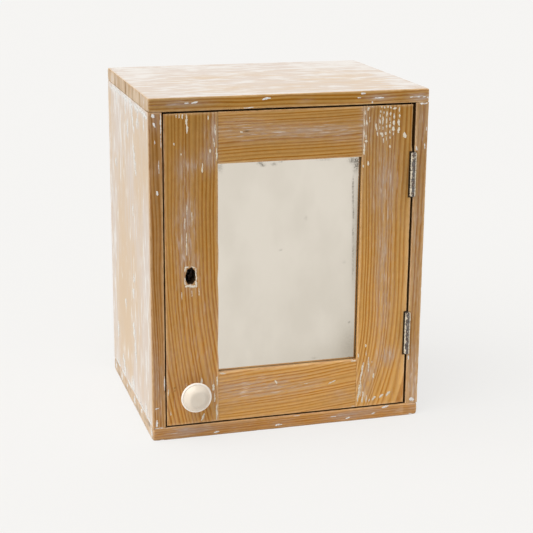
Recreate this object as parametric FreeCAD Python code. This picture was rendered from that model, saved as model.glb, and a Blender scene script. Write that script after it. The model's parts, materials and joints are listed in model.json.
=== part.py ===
import FreeCAD, Part
import math
import os

Vector = FreeCAD.Vector

# A small pine wall cabinet with one mirror door, in millimetres, +Z up.
# The front faces -Y, the hinges are on the right (+X) and the lock is on the left.
# The origin is the middle of the bottom board's underside.

# Carcass
cabinet_width = 320.0
cabinet_depth = 250.0
cabinet_height = 390.0
board_thickness = 15.0
edge_round = 1.0

# Back boards, in a rebate behind the carcass
back_thickness = 8.0
back_rebate = 8.0
back_board_count = 3
back_clearance = 0.5
seam_gap = 0.5
tongue_length = 4.0
tongue_thickness = 2.6
tongue_clearance = 0.3

# Hanging rail and its two wall screw holes
rail_height = 40.0
rail_thickness = 15.0
wall_hole_radius = 3.0
wall_hole_spacing = 200.0

# Shelves on cleats
shelf_thickness = 12.0
shelf_setback = 18.0
shelf_clearance = 0.3
lower_shelf_level = 115.0
upper_shelf_level = 240.0
cleat_width = 12.0
cleat_height = 15.0
cleat_setback = 10.0

# Door frame
door_thickness = 18.0
door_setback = 0.5
door_gap_left = 1.5
door_gap_right = 2.6
door_gap_top = 2.0
door_gap_bottom = 1.7
stile_width = 60.0
top_rail_width = 57.0
bottom_rail_width = 59.0
tenon_length = 15.0
tenon_thickness = 6.0
tenon_shoulder = 12.0
mortise_clearance = 0.1
mortise_end_gap = 1.0

# Mirror, its backing and the beads that hold them in the door's rebate
lip_thickness = 6.0
glass_rebate = 8.0
pane_clearance = 1.0
glass_thickness = 3.0
backing_thickness = 3.0
bead_width = 7.0

# Door stops behind the door's top and bottom edges
stop_width = 10.0
stop_height = 10.0
stop_gap = 0.5

# Butt hinges
hinge_from_top = 80.0
hinge_from_bottom = 87.0
hinge_length = 50.0
knuckle_count = 5
knuckle_radius = 3.3
knuckle_proud = 1.8
knuckle_gap = 0.3
knuckle_relief = 1.0
leaf_thickness = 1.1
leaf_width = 18.0
hinge_pin_radius = 1.5
hinge_pin_clearance = 0.05
hinge_pin_head = 0.8

# Knob and its screw
knob_backset = 30.5
knob_height = 37.8
knob_radius = 17.5
knob_length = 23.0
knob_foot_radius = 10.5
knob_foot_length = 2.0
knob_neck_radius = 7.5
knob_rim_length = 4.4
knob_rim_step = 2.2
knob_dome = 3.4
knob_screw_radius = 2.0
knob_screw_head_radius = 4.0
knob_screw_head_length = 2.6
knob_screw_grip = 12.0
washer_radius = 6.0
washer_thickness = 1.0

# Keyhole and lock
keyhole_backset = 28.5
keyhole_height = 175.0
keyhole_width = 10.8
keyhole_length = 18.6
lock_width = 44.0
lock_box_height = 56.0
lock_rise = 6.0
lock_depth = 11.0
lock_wall = 1.5
lock_flange = 10.0
lock_key_radius = 4.2
lock_key_slot_width = 3.0
lock_key_slot_length = 9.0
drill_pin_radius = 1.5
drill_pin_inset = 0.5
guide_radius = 2.0
guide_from_edge = 24.0
bolt_length = 40.0
bolt_height = 15.0
bolt_thickness = 5.0
bolt_rise = 4.5
bolt_throw = 7.0
bolt_clearance = 0.3
talon_width = 8.0
talon_depth = 4.0
pocket_clearance = 1.5
pocket_spare_depth = 2.5
spring_width = 3.0
spring_thickness = 0.6
spring_foot = 8.0
spring_reach = 28.0

# Fasteners
fit_clearance = 0.05
nail_radius = 0.9
nail_length = 40.0
nail_head_radius = 1.9
nail_head_height = 1.0
nail_sink = 0.8
brad_radius = 0.6
brad_head_radius = 1.2
brad_head_height = 0.6
brad_sink = 0.3
back_brad_length = 20.0
cleat_brad_length = 22.0
shelf_brad_length = 23.0
stop_brad_length = 20.0
bead_brad_length = 14.0
point_length = 2.0
screw_radius = 1.3
screw_head_radius = 2.7
screw_head_height = 1.4
screw_length = 12.0
screw_slot_width = 0.7
screw_slot_depth = 0.6
nail_end_distance = 30.0
brad_end_distance = 25.0
screw_end_distance = 7.0
back_brad_spread = 30.0

# Places worked out from the sizes above
half_width = cabinet_width / 2
front = -cabinet_depth / 2
back = cabinet_depth / 2
inner_half = half_width - board_thickness
inner_bottom = board_thickness
inner_top = cabinet_height - board_thickness
back_inner = back - back_thickness
door_left = -inner_half + door_gap_left
door_right = inner_half - door_gap_right
door_bottom = inner_bottom + door_gap_bottom
door_top = inner_top - door_gap_top
door_front = front + door_setback
door_back = door_front + door_thickness
sight_left = door_left + stile_width
sight_right = door_right - stile_width
sight_bottom = door_bottom + bottom_rail_width
sight_top = door_top - top_rail_width
rebate_left = sight_left - glass_rebate
rebate_right = sight_right + glass_rebate
rebate_bottom = sight_bottom - glass_rebate
rebate_top = sight_top + glass_rebate
glass_front = door_front + lip_thickness
tenon_y = (glass_front, glass_front + tenon_thickness)
glass_back = glass_front + glass_thickness
backing_back = glass_back + backing_thickness
shelf_front = door_back + shelf_setback
lower_shelf_z = inner_bottom + lower_shelf_level
upper_shelf_z = inner_bottom + upper_shelf_level
hinge_x = (door_right + inner_half) / 2
hinge_y = door_front - knuckle_proud
upper_hinge_z = door_top - hinge_from_top
lower_hinge_z = door_bottom + hinge_from_bottom
knob_x = door_left + knob_backset
knob_z = door_bottom + knob_height
keyhole_x = door_left + keyhole_backset
keyhole_z = door_bottom + keyhole_height
lock_z = keyhole_z + lock_rise
lock_right = door_left + lock_width
lock_top = lock_z + lock_box_height / 2
lock_bottom = lock_z - lock_box_height / 2
lock_back = door_back + lock_depth
plate_back = door_back + lock_wall
cap_front = lock_back - lock_wall
bolt_y = (plate_back + bolt_clearance, plate_back + bolt_clearance + bolt_thickness)
bolt_z = (keyhole_z + bolt_rise, keyhole_z + bolt_rise + bolt_height)
guide_x = door_left + guide_from_edge

right_way = Vector(1, 0, 0)
left_way = Vector(-1, 0, 0)
back_way = Vector(0, 1, 0)
front_way = Vector(0, -1, 0)
up_way = Vector(0, 0, 1)
down_way = Vector(0, 0, -1)
tiny = 0.01


def box(x, y, z):
    """A block between two limits along each axis."""
    return Part.makeBox(x[1] - x[0], y[1] - y[0], z[1] - z[0], Vector(x[0], y[0], z[0]))


def grown(limits, amount):
    """A pair of limits moved apart by an amount at each end."""
    return (limits[0] - amount, limits[1] + amount)


def rod(radius, start, way, length):
    """A round bar from a point along a direction."""
    return Part.makeCylinder(radius, length, start, way)


def stand(solid, at, way):
    """Moves a solid made along +Z so that it starts at a point and runs along a direction."""
    solid.Placement = FreeCAD.Placement(at, FreeCAD.Rotation(up_way, way))
    return solid


def turned(profile, at, way):
    """A turned solid from (radius, distance) corners, standing at a point along a direction."""
    corners = [Vector(radius, 0, distance) for radius, distance in profile]
    outline = Part.makePolygon(corners + corners[:1])
    return stand(Part.Face(outline).revolve(Vector(0, 0, 0), up_way, 360), at, way)


def eased(solid, chosen):
    """A solid with the chosen edges rounded; the choice looks at each edge's middle."""
    edges = [edge for edge in solid.Edges if chosen(edge.CenterOfMass)]
    return solid.makeFillet(edge_round, edges)


def near(value, place):
    return abs(value - place) < tiny


def spread(low, high, count):
    """Evenly spaced places from low to high."""
    return [low + (high - low) * step / (count - 1) for step in range(count)]


# Carcass boards


def level_board(z, rebate_z):
    """The top or bottom board, which covers the ends of the sides, with a stopped rebate for the back."""

    def outer_edge(middle):
        corner = near(abs(middle.x), half_width) and near(abs(middle.y), back)
        return corner or near(middle.z, outer_z)

    board = box((-half_width, half_width), (front, back), z)
    outer_z = z[1] if rebate_z[0] == z[0] else z[0]
    board = eased(board, outer_edge)
    reach = inner_half + back_rebate
    return board.cut(box((-reach, reach), (back_inner, back + tiny), rebate_z))


def side_board(hand):
    """One side between the top and the bottom board; hand is -1 for the left and 1 for the right."""
    board = box(sorted((hand * half_width, hand * inner_half)), (front, back), (inner_bottom, inner_top))
    board = eased(board, lambda c: near(c.x, hand * half_width) and near(abs(c.y), back))
    rebate_x = sorted((hand * inner_half, hand * (inner_half + back_rebate)))
    return board.cut(box(rebate_x, (back_inner, back + tiny), (inner_bottom, inner_top)))


def back_boards():
    """Upright boards with tongues and grooves, from left to right."""
    reach = inner_half + back_rebate - back_clearance
    z = (inner_bottom - back_rebate + back_clearance, inner_top + back_rebate - back_clearance)
    width = 2 * reach / back_board_count
    middle = (back_inner + back) / 2
    tongue_y = (middle - tongue_thickness / 2, middle + tongue_thickness / 2)
    boards = []
    for place in range(back_board_count):
        x0 = -reach + place * width
        x1 = x0 + width
        board = box((x0, x1 - seam_gap), (back_inner, back), z)
        if place < back_board_count - 1:
            board = board.fuse(box((x1 - seam_gap - tiny, x1 + tongue_length), tongue_y, z))
        if place > 0:
            groove_x = (x0 - tiny, x0 + tongue_length + tongue_clearance)
            board = board.cut(box(groove_x, grown(tongue_y, tongue_clearance), grown(z, tiny)))
        boards.append(board.removeSplitter())
    return boards


def hanging_rail():
    """A rail under the top board that takes the wall screws."""
    z = (inner_top - rail_height, inner_top)
    return box((-inner_half, inner_half), (back_inner - rail_thickness, back_inner), z)


def wall_holes():
    """The two holes through the rail and the back boards."""
    z = inner_top - rail_height / 2
    start = back_inner - rail_thickness - tiny
    length = rail_thickness + back_thickness + 2 * tiny
    places = (-wall_hole_spacing / 2, wall_hole_spacing / 2)
    return [rod(wall_hole_radius, Vector(x, start, z), back_way, length) for x in places]


def shelf(z):
    reach = inner_half - shelf_clearance
    return box((-reach, reach), (shelf_front, back_inner), (z, z + shelf_thickness))


def shelf_cleat(hand, shelf_z):
    x = sorted((hand * inner_half, hand * (inner_half - cleat_width)))
    return box(x, (shelf_front + cleat_setback, back_inner), (shelf_z - cleat_height, shelf_z))


def door_stop(z):
    y0 = door_back + stop_gap
    return box((-inner_half, inner_half), (y0, y0 + stop_width), z)


# Door frame


def tenon_z(place):
    """The height limits of the top or the bottom rail's tenons."""
    if place == "top":
        return (rebate_top, door_top - tenon_shoulder)
    return (door_bottom + tenon_shoulder, rebate_bottom)


def stile(hand):
    """One upright of the door frame with its glass rebate and its two mortises."""
    outer = door_left if hand < 0 else door_right
    sight = sight_left if hand < 0 else sight_right
    rebate = rebate_left if hand < 0 else rebate_right
    z = (door_bottom, door_top)
    upright = box(sorted((outer, sight)), (door_front, door_back), z)
    upright = eased(upright, lambda c: near(c.y, door_front) and not near(c.x, sight))
    upright = upright.cut(box(sorted((rebate, sight)), (glass_front, door_back + tiny), grown(z, tiny)))
    mortise_x = sorted((rebate, rebate + hand * (tenon_length + mortise_end_gap)))
    for place in ("top", "bottom"):
        slot_z = grown(tenon_z(place), mortise_clearance)
        upright = upright.cut(box(mortise_x, grown(tenon_y, mortise_clearance), slot_z))
    return upright


def rail(place):
    """A cross rail with a lip between the stiles, a back in their rebates and tenons in their mortises."""
    outer = door_top if place == "top" else door_bottom
    sight = sight_top if place == "top" else sight_bottom
    rebate = rebate_top if place == "top" else rebate_bottom
    lip = box((sight_left, sight_right), (door_front, glass_front), sorted((sight, outer)))
    lip = eased(lip, lambda c: near(c.y, door_front) and near(c.z, outer))
    core = box((rebate_left, rebate_right), (glass_front, door_back), sorted((rebate, outer)))
    tenons = box(grown((rebate_left, rebate_right), tenon_length), tenon_y, tenon_z(place))
    return lip.fuse([core, tenons]).removeSplitter()


def pane(y):
    """A sheet that fills the door's rebate, less the clearance round it."""
    x = grown((rebate_left, rebate_right), -pane_clearance)
    z = grown((rebate_bottom, rebate_top), -pane_clearance)
    return box(x, y, z)


def glazing_bead(place):
    """One of the four strips behind the mirror's backing."""
    y = (backing_back, door_back)
    if place == "left":
        return box((rebate_left, rebate_left + bead_width), y, (rebate_bottom, rebate_top))
    if place == "right":
        return box((rebate_right - bead_width, rebate_right), y, (rebate_bottom, rebate_top))
    x = grown((rebate_left, rebate_right), -bead_width)
    if place == "top":
        return box(x, y, (rebate_top - bead_width, rebate_top))
    return box(x, y, (rebate_bottom, rebate_bottom + bead_width))


# Hinges


def knuckle_spans(z, owner):
    """Height limits of the knuckles that belong to one leaf: 0 for the cabinet's, 1 for the door's."""
    length = hinge_length / knuckle_count
    bottom = z - hinge_length / 2
    return [(bottom + n * length, bottom + (n + 1) * length) for n in range(owner, knuckle_count, 2)]


def hinge_bar(radius, z):
    """A round bar on the hinge's axis."""
    return rod(radius, Vector(hinge_x, hinge_y, z[0]), up_way, z[1] - z[0])


def hinge_leaf(z, owner):
    """A flat leaf with its rolled knuckles, clear of the other leaf's knuckles, bored for the pin."""
    leaf_x = inner_half - leaf_thickness if owner == 0 else door_right
    whole = grown((z, z), hinge_length / 2)
    leaf = box((leaf_x, leaf_x + leaf_thickness), (hinge_y, hinge_y + leaf_width), whole)
    leaf = leaf.fuse([hinge_bar(knuckle_radius, span) for span in knuckle_spans(z, owner)])
    other_spans = [grown(span, knuckle_gap / 2) for span in knuckle_spans(z, 1 - owner)]
    room = [hinge_bar(knuckle_radius + knuckle_gap, span) for span in other_spans]
    bore = hinge_bar(hinge_pin_radius + hinge_pin_clearance, grown(whole, tiny))
    return leaf.cut(room + [bore]).removeSplitter()


def hinge_pin(z):
    """The pin with a low round head on each end."""
    whole = grown((z, z), hinge_length / 2)
    shank = hinge_bar(hinge_pin_radius, grown(whole, hinge_pin_head))
    head_radius = (hinge_pin_radius + knuckle_radius) / 2
    lower = hinge_bar(head_radius, (whole[0] - hinge_pin_head, whole[0]))
    upper = hinge_bar(head_radius, (whole[1], whole[1] + hinge_pin_head))
    return shank.fuse([lower, upper]).removeSplitter()


def knuckle_room(z):
    """The round relief in the wood beside a hinge's knuckles."""
    reach = hinge_length / 2 + hinge_pin_head + knuckle_gap
    return hinge_bar(knuckle_radius + knuckle_relief, grown((z, z), reach))


# Knob


def knob():
    """A turned knob: a foot, a waisted neck, a rolled rim and a low dome, bored for its screw."""

    def at(radius, distance):
        return Vector(radius, 0, distance)

    dome_edge = knob_radius - knob_rim_step
    dome_start = knob_length - knob_dome
    rim_start = dome_start - knob_rim_length
    neck_at = (knob_foot_length + rim_start) / 2
    waist = at(knob_neck_radius, neck_at)
    foot_curve = at((knob_foot_radius + 2 * knob_neck_radius) / 3, (2 * knob_foot_length + neck_at) / 3)
    flare = at((dome_edge + 2 * knob_neck_radius) / 3, (2 * rim_start + neck_at) / 3)
    rim_middle = at(knob_radius, rim_start + knob_rim_length / 2)
    dome_radius = (dome_edge ** 2 + knob_dome ** 2) / (2 * knob_dome)
    dome_rise = math.sqrt(dome_radius ** 2 - (dome_edge / 2) ** 2)
    dome_middle = at(dome_edge / 2, knob_length - dome_radius + dome_rise)
    edges = [
        Part.LineSegment(at(0, 0), at(knob_foot_radius, 0)),
        Part.LineSegment(at(knob_foot_radius, 0), at(knob_foot_radius, knob_foot_length)),
        Part.Arc(at(knob_foot_radius, knob_foot_length), foot_curve, waist),
        Part.Arc(waist, flare, at(dome_edge, rim_start)),
        Part.Arc(at(dome_edge, rim_start), rim_middle, at(dome_edge, dome_start)),
        Part.Arc(at(dome_edge, dome_start), dome_middle, at(0, knob_length)),
        Part.LineSegment(at(0, knob_length), at(0, 0)),
    ]
    outline = Part.Wire([edge.toShape() for edge in edges])
    turned_knob = Part.Face(outline).revolve(Vector(0, 0, 0), up_way, 360)
    turned_knob = stand(turned_knob, Vector(knob_x, door_front, knob_z), front_way)
    bore_y = (door_front - knob_screw_grip - mortise_end_gap, door_front + tiny)
    return turned_knob.cut(knob_bar(knob_screw_radius + fit_clearance, bore_y))


def knob_bar(radius, y):
    """A round bar on the knob's axis."""
    return rod(radius, Vector(knob_x, y[0], knob_z), back_way, y[1] - y[0])


def knob_washer():
    y = (door_back, door_back + washer_thickness)
    disc = knob_bar(washer_radius, y)
    return disc.cut(knob_bar(knob_screw_radius + fit_clearance, grown(y, tiny)))


def knob_screw():
    """The screw from inside the door into the knob, with a slotted round head."""
    seat = door_back + washer_thickness
    head_y = (seat, seat + knob_screw_head_length)
    screw = knob_bar(knob_screw_radius, (door_front - knob_screw_grip, seat + tiny))
    screw = screw.fuse(knob_bar(knob_screw_head_radius, head_y)).removeSplitter()
    slot_x = grown((knob_x, knob_x), screw_slot_width / 2)
    slot_z = grown((knob_z, knob_z), knob_screw_head_radius + tiny)
    return screw.cut(box(slot_x, (head_y[1] - screw_slot_depth, head_y[1] + tiny), slot_z))


# Lock


def keyhole():
    """The upright hole through the stile, with round ends."""
    radius = keyhole_width / 2
    z = grown((keyhole_z, keyhole_z), keyhole_length / 2 - radius)
    y = grown((door_front, door_back), tiny)
    slot = box(grown((keyhole_x, keyhole_x), radius), y, z)
    ends = [rod(radius, Vector(keyhole_x, y[0], end), back_way, y[1] - y[0]) for end in z]
    return slot.fuse(ends).removeSplitter()


def lock_case():
    """A flanged plate on the door's back with the four walls of the box and the bolt's guide stud."""
    x = (door_left, lock_right)
    z = (lock_bottom, lock_top)
    plate = box(x, (door_back, plate_back), grown(z, lock_flange))
    walls = box(x, (door_back, cap_front), z)
    inside = box(grown(x, -lock_wall), (plate_back, cap_front + tiny), grown(z, -lock_wall))
    stud_foot = Vector(guide_x, plate_back - tiny, sum(bolt_z) / 2)
    stud = rod(guide_radius, stud_foot, back_way, cap_front - stud_foot.y)
    case = plate.fuse(walls).cut(inside).fuse(stud)
    plate_y = grown((door_back, plate_back), tiny)
    eye = rod(lock_key_radius, Vector(keyhole_x, plate_y[0], keyhole_z), back_way, plate_y[1] - plate_y[0])
    slot_x = grown((keyhole_x, keyhole_x), lock_key_slot_width / 2)
    slot = box(slot_x, plate_y, (keyhole_z - lock_key_slot_length, keyhole_z))
    wall_x = grown((door_left, door_left + lock_wall), tiny)
    bolt_way = box(wall_x, grown(bolt_y, bolt_clearance), grown(bolt_z, bolt_clearance))
    return case.cut([eye, slot, bolt_way]).removeSplitter()


def lock_cap():
    return box((door_left, lock_right), (cap_front, lock_back), (lock_bottom, lock_top))


def lock_drill_pin():
    """The pin that a hollow key turns on."""
    start = door_back + drill_pin_inset
    return rod(drill_pin_radius, Vector(keyhole_x, start, keyhole_z), back_way, cap_front - start)


def lock_bolt():
    """The sliding bolt: flush with the door's edge, slotted for its guide, notched for the key."""
    bolt = box((door_left, door_left + bolt_length), bolt_y, bolt_z)
    through_y = grown(bolt_y, tiny)
    room = guide_radius + bolt_clearance
    middle = sum(bolt_z) / 2
    guide_ends = (guide_x, guide_x + bolt_throw)
    guide_slot = box(guide_ends, through_y, grown((middle, middle), room))
    length = through_y[1] - through_y[0]
    ends = [rod(room, Vector(x, through_y[0], middle), back_way, length) for x in guide_ends]
    talon_middle = keyhole_x + bolt_throw / 2
    talon_x = grown((talon_middle, talon_middle), talon_width / 2)
    talon = box(talon_x, through_y, (bolt_z[0] - tiny, bolt_z[0] + talon_depth))
    return bolt.cut([guide_slot, talon] + ends)


def lock_bolt_spring():
    """A flat spring on the bolt's tail that curves up to the roof of the case."""
    tail = door_left + bolt_length
    roof = lock_top - lock_wall - bolt_clearance
    foot_x = (tail - spring_foot, tail)
    tip_x = tail - spring_reach
    low = bolt_z[1]
    bend_x = (foot_x[0] + tip_x) / 2
    bend_z = low + (roof - low) / 4

    def at(x, z):
        return Vector(x, 0, z)

    high = low + spring_thickness
    under = roof - spring_thickness
    edges = [
        Part.LineSegment(at(foot_x[1], low), at(foot_x[0], low)),
        Part.Arc(at(foot_x[0], low), at(bend_x, bend_z), at(tip_x, under)),
        Part.LineSegment(at(tip_x, under), at(tip_x, roof)),
        Part.Arc(at(tip_x, roof), at(bend_x, bend_z + spring_thickness), at(foot_x[0], high)),
        Part.LineSegment(at(foot_x[0], high), at(foot_x[1], high)),
        Part.LineSegment(at(foot_x[1], high), at(foot_x[1], low)),
    ]
    strip = Part.Face(Part.Wire([edge.toShape() for edge in edges])).extrude(back_way * spring_width)
    strip.translate(Vector(0, sum(bolt_y) / 2 - spring_width / 2, 0))
    return strip


def bolt_pocket():
    """The pocket in the left side that takes the thrown bolt."""
    depth = bolt_throw - door_gap_left + pocket_spare_depth
    x = (-inner_half - depth, -inner_half + tiny)
    return box(x, grown(bolt_y, pocket_clearance), grown(bolt_z, pocket_clearance))


# Fasteners: each site is a point on the wood's surface and the direction of driving


def nail_profile(length, radius, head_radius, head_height, sink):
    shoulder = sink + head_height
    head = [(0, sink), (head_radius, sink), (head_radius, shoulder)]
    return head + [(radius, shoulder), (radius, length - point_length), (0, length)]


def nail_hole_profile(length, radius, head_radius, head_height, sink):
    wide = head_radius + fit_clearance
    thin = radius + fit_clearance
    shoulder = sink + head_height
    head = [(0, -tiny), (wide, -tiny), (wide, shoulder)]
    return head + [(thin, shoulder), (thin, length), (0, length)]


def hammer(parts, name, sites, sizes, targets):
    """Adds a group of nails under one name and makes their holes in the wood they go through."""
    parts[name] = Part.makeCompound([turned(nail_profile(*sizes), at, way) for at, way in sites])
    holes = [turned(nail_hole_profile(*sizes), at, way) for at, way in sites]
    for target in targets:
        parts[target] = parts[target].cut(holes)


def wood_screw(at, way, slot_way):
    """A countersunk screw with a slotted head, flush with the surface that it holds down."""
    head = [(0, 0), (screw_head_radius, 0), (screw_radius, screw_head_height)]
    profile = head + [(screw_radius, screw_length - point_length), (0, screw_length)]
    slot = Part.makeBox(screw_slot_width, 2 * screw_head_radius, screw_slot_depth + tiny)
    slot.translate(Vector(-screw_slot_width / 2, -screw_head_radius, -tiny))
    turn = FreeCAD.Rotation(slot_way.cross(way), slot_way, way, "ZXY")
    slot.Placement = FreeCAD.Placement(at, turn).multiply(slot.Placement)
    return turned(profile, at, way).cut(slot)


def drive(parts, name, sites, slot_way, targets):
    """Adds a group of countersunk screws under one name and makes their holes."""
    parts[name] = Part.makeCompound([wood_screw(at, way, slot_way) for at, way in sites])
    wide = screw_head_radius + fit_clearance
    thin = screw_radius + fit_clearance
    head = [(0, -tiny), (wide, -tiny), (wide, 0)]
    profile = head + [(thin, screw_head_height), (thin, screw_length), (0, screw_length)]
    holes = [turned(profile, at, way) for at, way in sites]
    for target in targets:
        parts[target] = parts[target].cut(holes)


def brad(length):
    return (length, brad_radius, brad_head_radius, brad_head_height, brad_sink)


def nail_carcass(parts):
    """Nails down through the top and up through the bottom, into the sides and the hanging rail."""
    sites = []
    x = half_width - board_thickness / 2
    for y in spread(front + nail_end_distance, back - nail_end_distance, 3):
        for hand in (-1, 1):
            sites.append((Vector(hand * x, y, cabinet_height), down_way))
            sites.append((Vector(hand * x, y, 0), up_way))
    rail_y = back_inner - rail_thickness / 2
    for rail_x in spread(-inner_half + 3 * nail_end_distance, inner_half - 3 * nail_end_distance, 2):
        sites.append((Vector(rail_x, rail_y, cabinet_height), down_way))
    sizes = (nail_length, nail_radius, nail_head_radius, nail_head_height, nail_sink)
    targets = ["top_board", "bottom_board", "left_side", "right_side", "hanging_rail"]
    hammer(parts, "carcass_nails", sites, sizes, targets)


def nail_back(parts, board_names):
    """Brads through the back boards into the shoulders of the rebate."""
    sites = []
    ledge = back_rebate / 2
    width = 2 * (inner_half + back_rebate - back_clearance) / back_board_count
    for place in range(back_board_count):
        middle = -inner_half - back_rebate + back_clearance + (place + 0.5) * width
        for x in (middle - back_brad_spread, middle + back_brad_spread):
            for z in (inner_bottom - ledge, inner_top + ledge):
                sites.append((Vector(x, back, z), front_way))
    for hand in (-1, 1):
        for z in spread(inner_bottom + 3 * brad_end_distance, inner_top - 3 * brad_end_distance, 3):
            sites.append((Vector(hand * (inner_half + ledge), back, z), front_way))
    targets = board_names + ["top_board", "bottom_board", "left_side", "right_side"]
    hammer(parts, "back_brads", sites, brad(back_brad_length), targets)


def nail_shelves(parts):
    """Brads through the cleats into the sides, and down through the shelves into the cleats."""
    cleat_sites = []
    shelf_sites = []
    y_places = spread(shelf_front + cleat_setback + brad_end_distance, back_inner - brad_end_distance, 2)
    cleats = []
    for hand, side in ((-1, "left"), (1, "right")):
        face_x = hand * (inner_half - cleat_width)
        middle_x = hand * (inner_half - cleat_width / 2)
        for level, z in (("lower", lower_shelf_z), ("upper", upper_shelf_z)):
            cleats.append("shelf_cleat_%s_%s" % (level, side))
            for y in y_places:
                cleat_sites.append((Vector(face_x, y, z - cleat_height / 2), right_way * hand))
                top_y = y + cleat_height / 2
                shelf_sites.append((Vector(middle_x, top_y, z + shelf_thickness), down_way))
    hammer(parts, "cleat_brads", cleat_sites, brad(cleat_brad_length), cleats + ["left_side", "right_side"])
    shelves = ["lower_shelf", "upper_shelf"]
    hammer(parts, "shelf_brads", shelf_sites, brad(shelf_brad_length), cleats + shelves)


def nail_stops(parts):
    """Brads through the door stops into the top and the bottom board."""
    sites = []
    y = door_back + stop_gap + stop_width / 2
    for x in spread(-inner_half + brad_end_distance, inner_half - brad_end_distance, 3):
        sites.append((Vector(x, y, inner_top - stop_height), up_way))
        sites.append((Vector(x, y, inner_bottom + stop_height), down_way))
    targets = ["door_stop_top", "door_stop_bottom", "top_board", "bottom_board"]
    hammer(parts, "stop_brads", sites, brad(stop_brad_length), targets)


def nail_beads(parts):
    """Brads through the glazing beads into the door frame."""
    sites = []
    y = (backing_back + door_back) / 2
    for z in spread(rebate_bottom + brad_end_distance, rebate_top - brad_end_distance, 3):
        sites.append((Vector(rebate_left + bead_width, y, z), left_way))
        sites.append((Vector(rebate_right - bead_width, y, z), right_way))
    for x in spread(rebate_left + brad_end_distance, rebate_right - brad_end_distance, 2):
        sites.append((Vector(x, y, rebate_bottom + bead_width), down_way))
        sites.append((Vector(x, y, rebate_top - bead_width), up_way))
    beads = ["glazing_bead_" + place for place in ("left", "right", "top", "bottom")]
    frame = ["left_stile", "right_stile", "top_rail", "bottom_rail"]
    hammer(parts, "bead_brads", sites, brad(bead_brad_length), beads + frame)


def screw_hinges(parts):
    """Three screws in each leaf, into the right side and into the door's edge."""
    side_sites = []
    door_sites = []
    y = hinge_y + (knuckle_radius + knuckle_relief + leaf_width) / 2
    reach = hinge_length / 2 - screw_end_distance
    for z in (lower_hinge_z, upper_hinge_z):
        for place in spread(z - reach, z + reach, 3):
            side_sites.append((Vector(inner_half - leaf_thickness, y, place), right_way))
            door_sites.append((Vector(door_right + leaf_thickness, y, place), left_way))
    side_leaves = ["hinge_upper_cabinet_leaf", "hinge_lower_cabinet_leaf"]
    door_leaves = ["hinge_upper_door_leaf", "hinge_lower_door_leaf"]
    drive(parts, "cabinet_hinge_screws", side_sites, up_way, side_leaves + ["right_side"])
    drive(parts, "door_hinge_screws", door_sites, up_way, door_leaves + ["right_stile"])


def screw_lock(parts):
    """Four screws through the lock's flanges into the left stile."""
    sites = []
    for x in (door_left + screw_end_distance, lock_right - screw_end_distance):
        for z in (lock_bottom - lock_flange / 2, lock_top + lock_flange / 2):
            sites.append((Vector(x, plate_back, z), front_way))
    drive(parts, "lock_screws", sites, up_way, ["lock_case", "left_stile"])


def make_carcass(parts):
    parts["top_board"] = level_board((inner_top, cabinet_height), (inner_top, inner_top + back_rebate))
    parts["bottom_board"] = level_board((0, inner_bottom), (inner_bottom - back_rebate, inner_bottom))
    parts["left_side"] = side_board(-1).cut(bolt_pocket())
    parts["right_side"] = side_board(1).cut([knuckle_room(lower_hinge_z), knuckle_room(upper_hinge_z)])
    parts["hanging_rail"] = hanging_rail().cut(wall_holes())
    board_names = ["back_board_%d" % (place + 1) for place in range(back_board_count)]
    for name, board in zip(board_names, back_boards()):
        parts[name] = board.cut(wall_holes())
    for level, z in (("lower", lower_shelf_z), ("upper", upper_shelf_z)):
        parts[level + "_shelf"] = shelf(z)
        for hand, side in ((-1, "left"), (1, "right")):
            parts["shelf_cleat_%s_%s" % (level, side)] = shelf_cleat(hand, z)
    parts["door_stop_top"] = door_stop((inner_top - stop_height, inner_top))
    parts["door_stop_bottom"] = door_stop((inner_bottom, inner_bottom + stop_height))
    nail_carcass(parts)
    nail_back(parts, board_names)
    nail_shelves(parts)
    nail_stops(parts)


def make_door(parts):
    knob_hole = knob_bar(knob_screw_radius + fit_clearance, grown((door_front, door_back), tiny))
    parts["left_stile"] = stile(-1).cut([keyhole(), knob_hole])
    parts["right_stile"] = stile(1).cut([knuckle_room(lower_hinge_z), knuckle_room(upper_hinge_z)])
    parts["top_rail"] = rail("top")
    parts["bottom_rail"] = rail("bottom").cut(knob_hole)
    parts["mirror"] = pane((glass_front, glass_back))
    parts["mirror_backing"] = pane((glass_back, backing_back))
    for place in ("left", "right", "top", "bottom"):
        parts["glazing_bead_" + place] = glazing_bead(place)
    nail_beads(parts)
    parts["knob"] = knob()
    parts["knob_screw"] = knob_screw()
    parts["knob_washer"] = knob_washer()


def make_hinges(parts):
    for level, z in (("lower", lower_hinge_z), ("upper", upper_hinge_z)):
        parts["hinge_%s_cabinet_leaf" % level] = hinge_leaf(z, 0)
        parts["hinge_%s_door_leaf" % level] = hinge_leaf(z, 1)
        parts["hinge_%s_pin" % level] = hinge_pin(z)
    screw_hinges(parts)


def make_lock(parts):
    parts["lock_case"] = lock_case()
    parts["lock_cap"] = lock_cap()
    parts["lock_drill_pin"] = lock_drill_pin()
    parts["lock_bolt"] = lock_bolt()
    parts["lock_bolt_spring"] = lock_bolt_spring()
    screw_lock(parts)


def main():
    parts = {}
    make_carcass(parts)
    make_door(parts)
    make_hinges(parts)
    make_lock(parts)
    os.makedirs("parts", exist_ok=True)
    for name, shape in parts.items():
        shape.exportStep("parts/%s.step" % name)
        print("%-26s solids %2d  volume %10.1f" % (name, len(shape.Solids), shape.Volume))


main()
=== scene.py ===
import json
import math
import bpy
import numpy as np
from mathutils import Matrix, Vector
from mathutils.bvhtree import BVHTree


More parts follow.
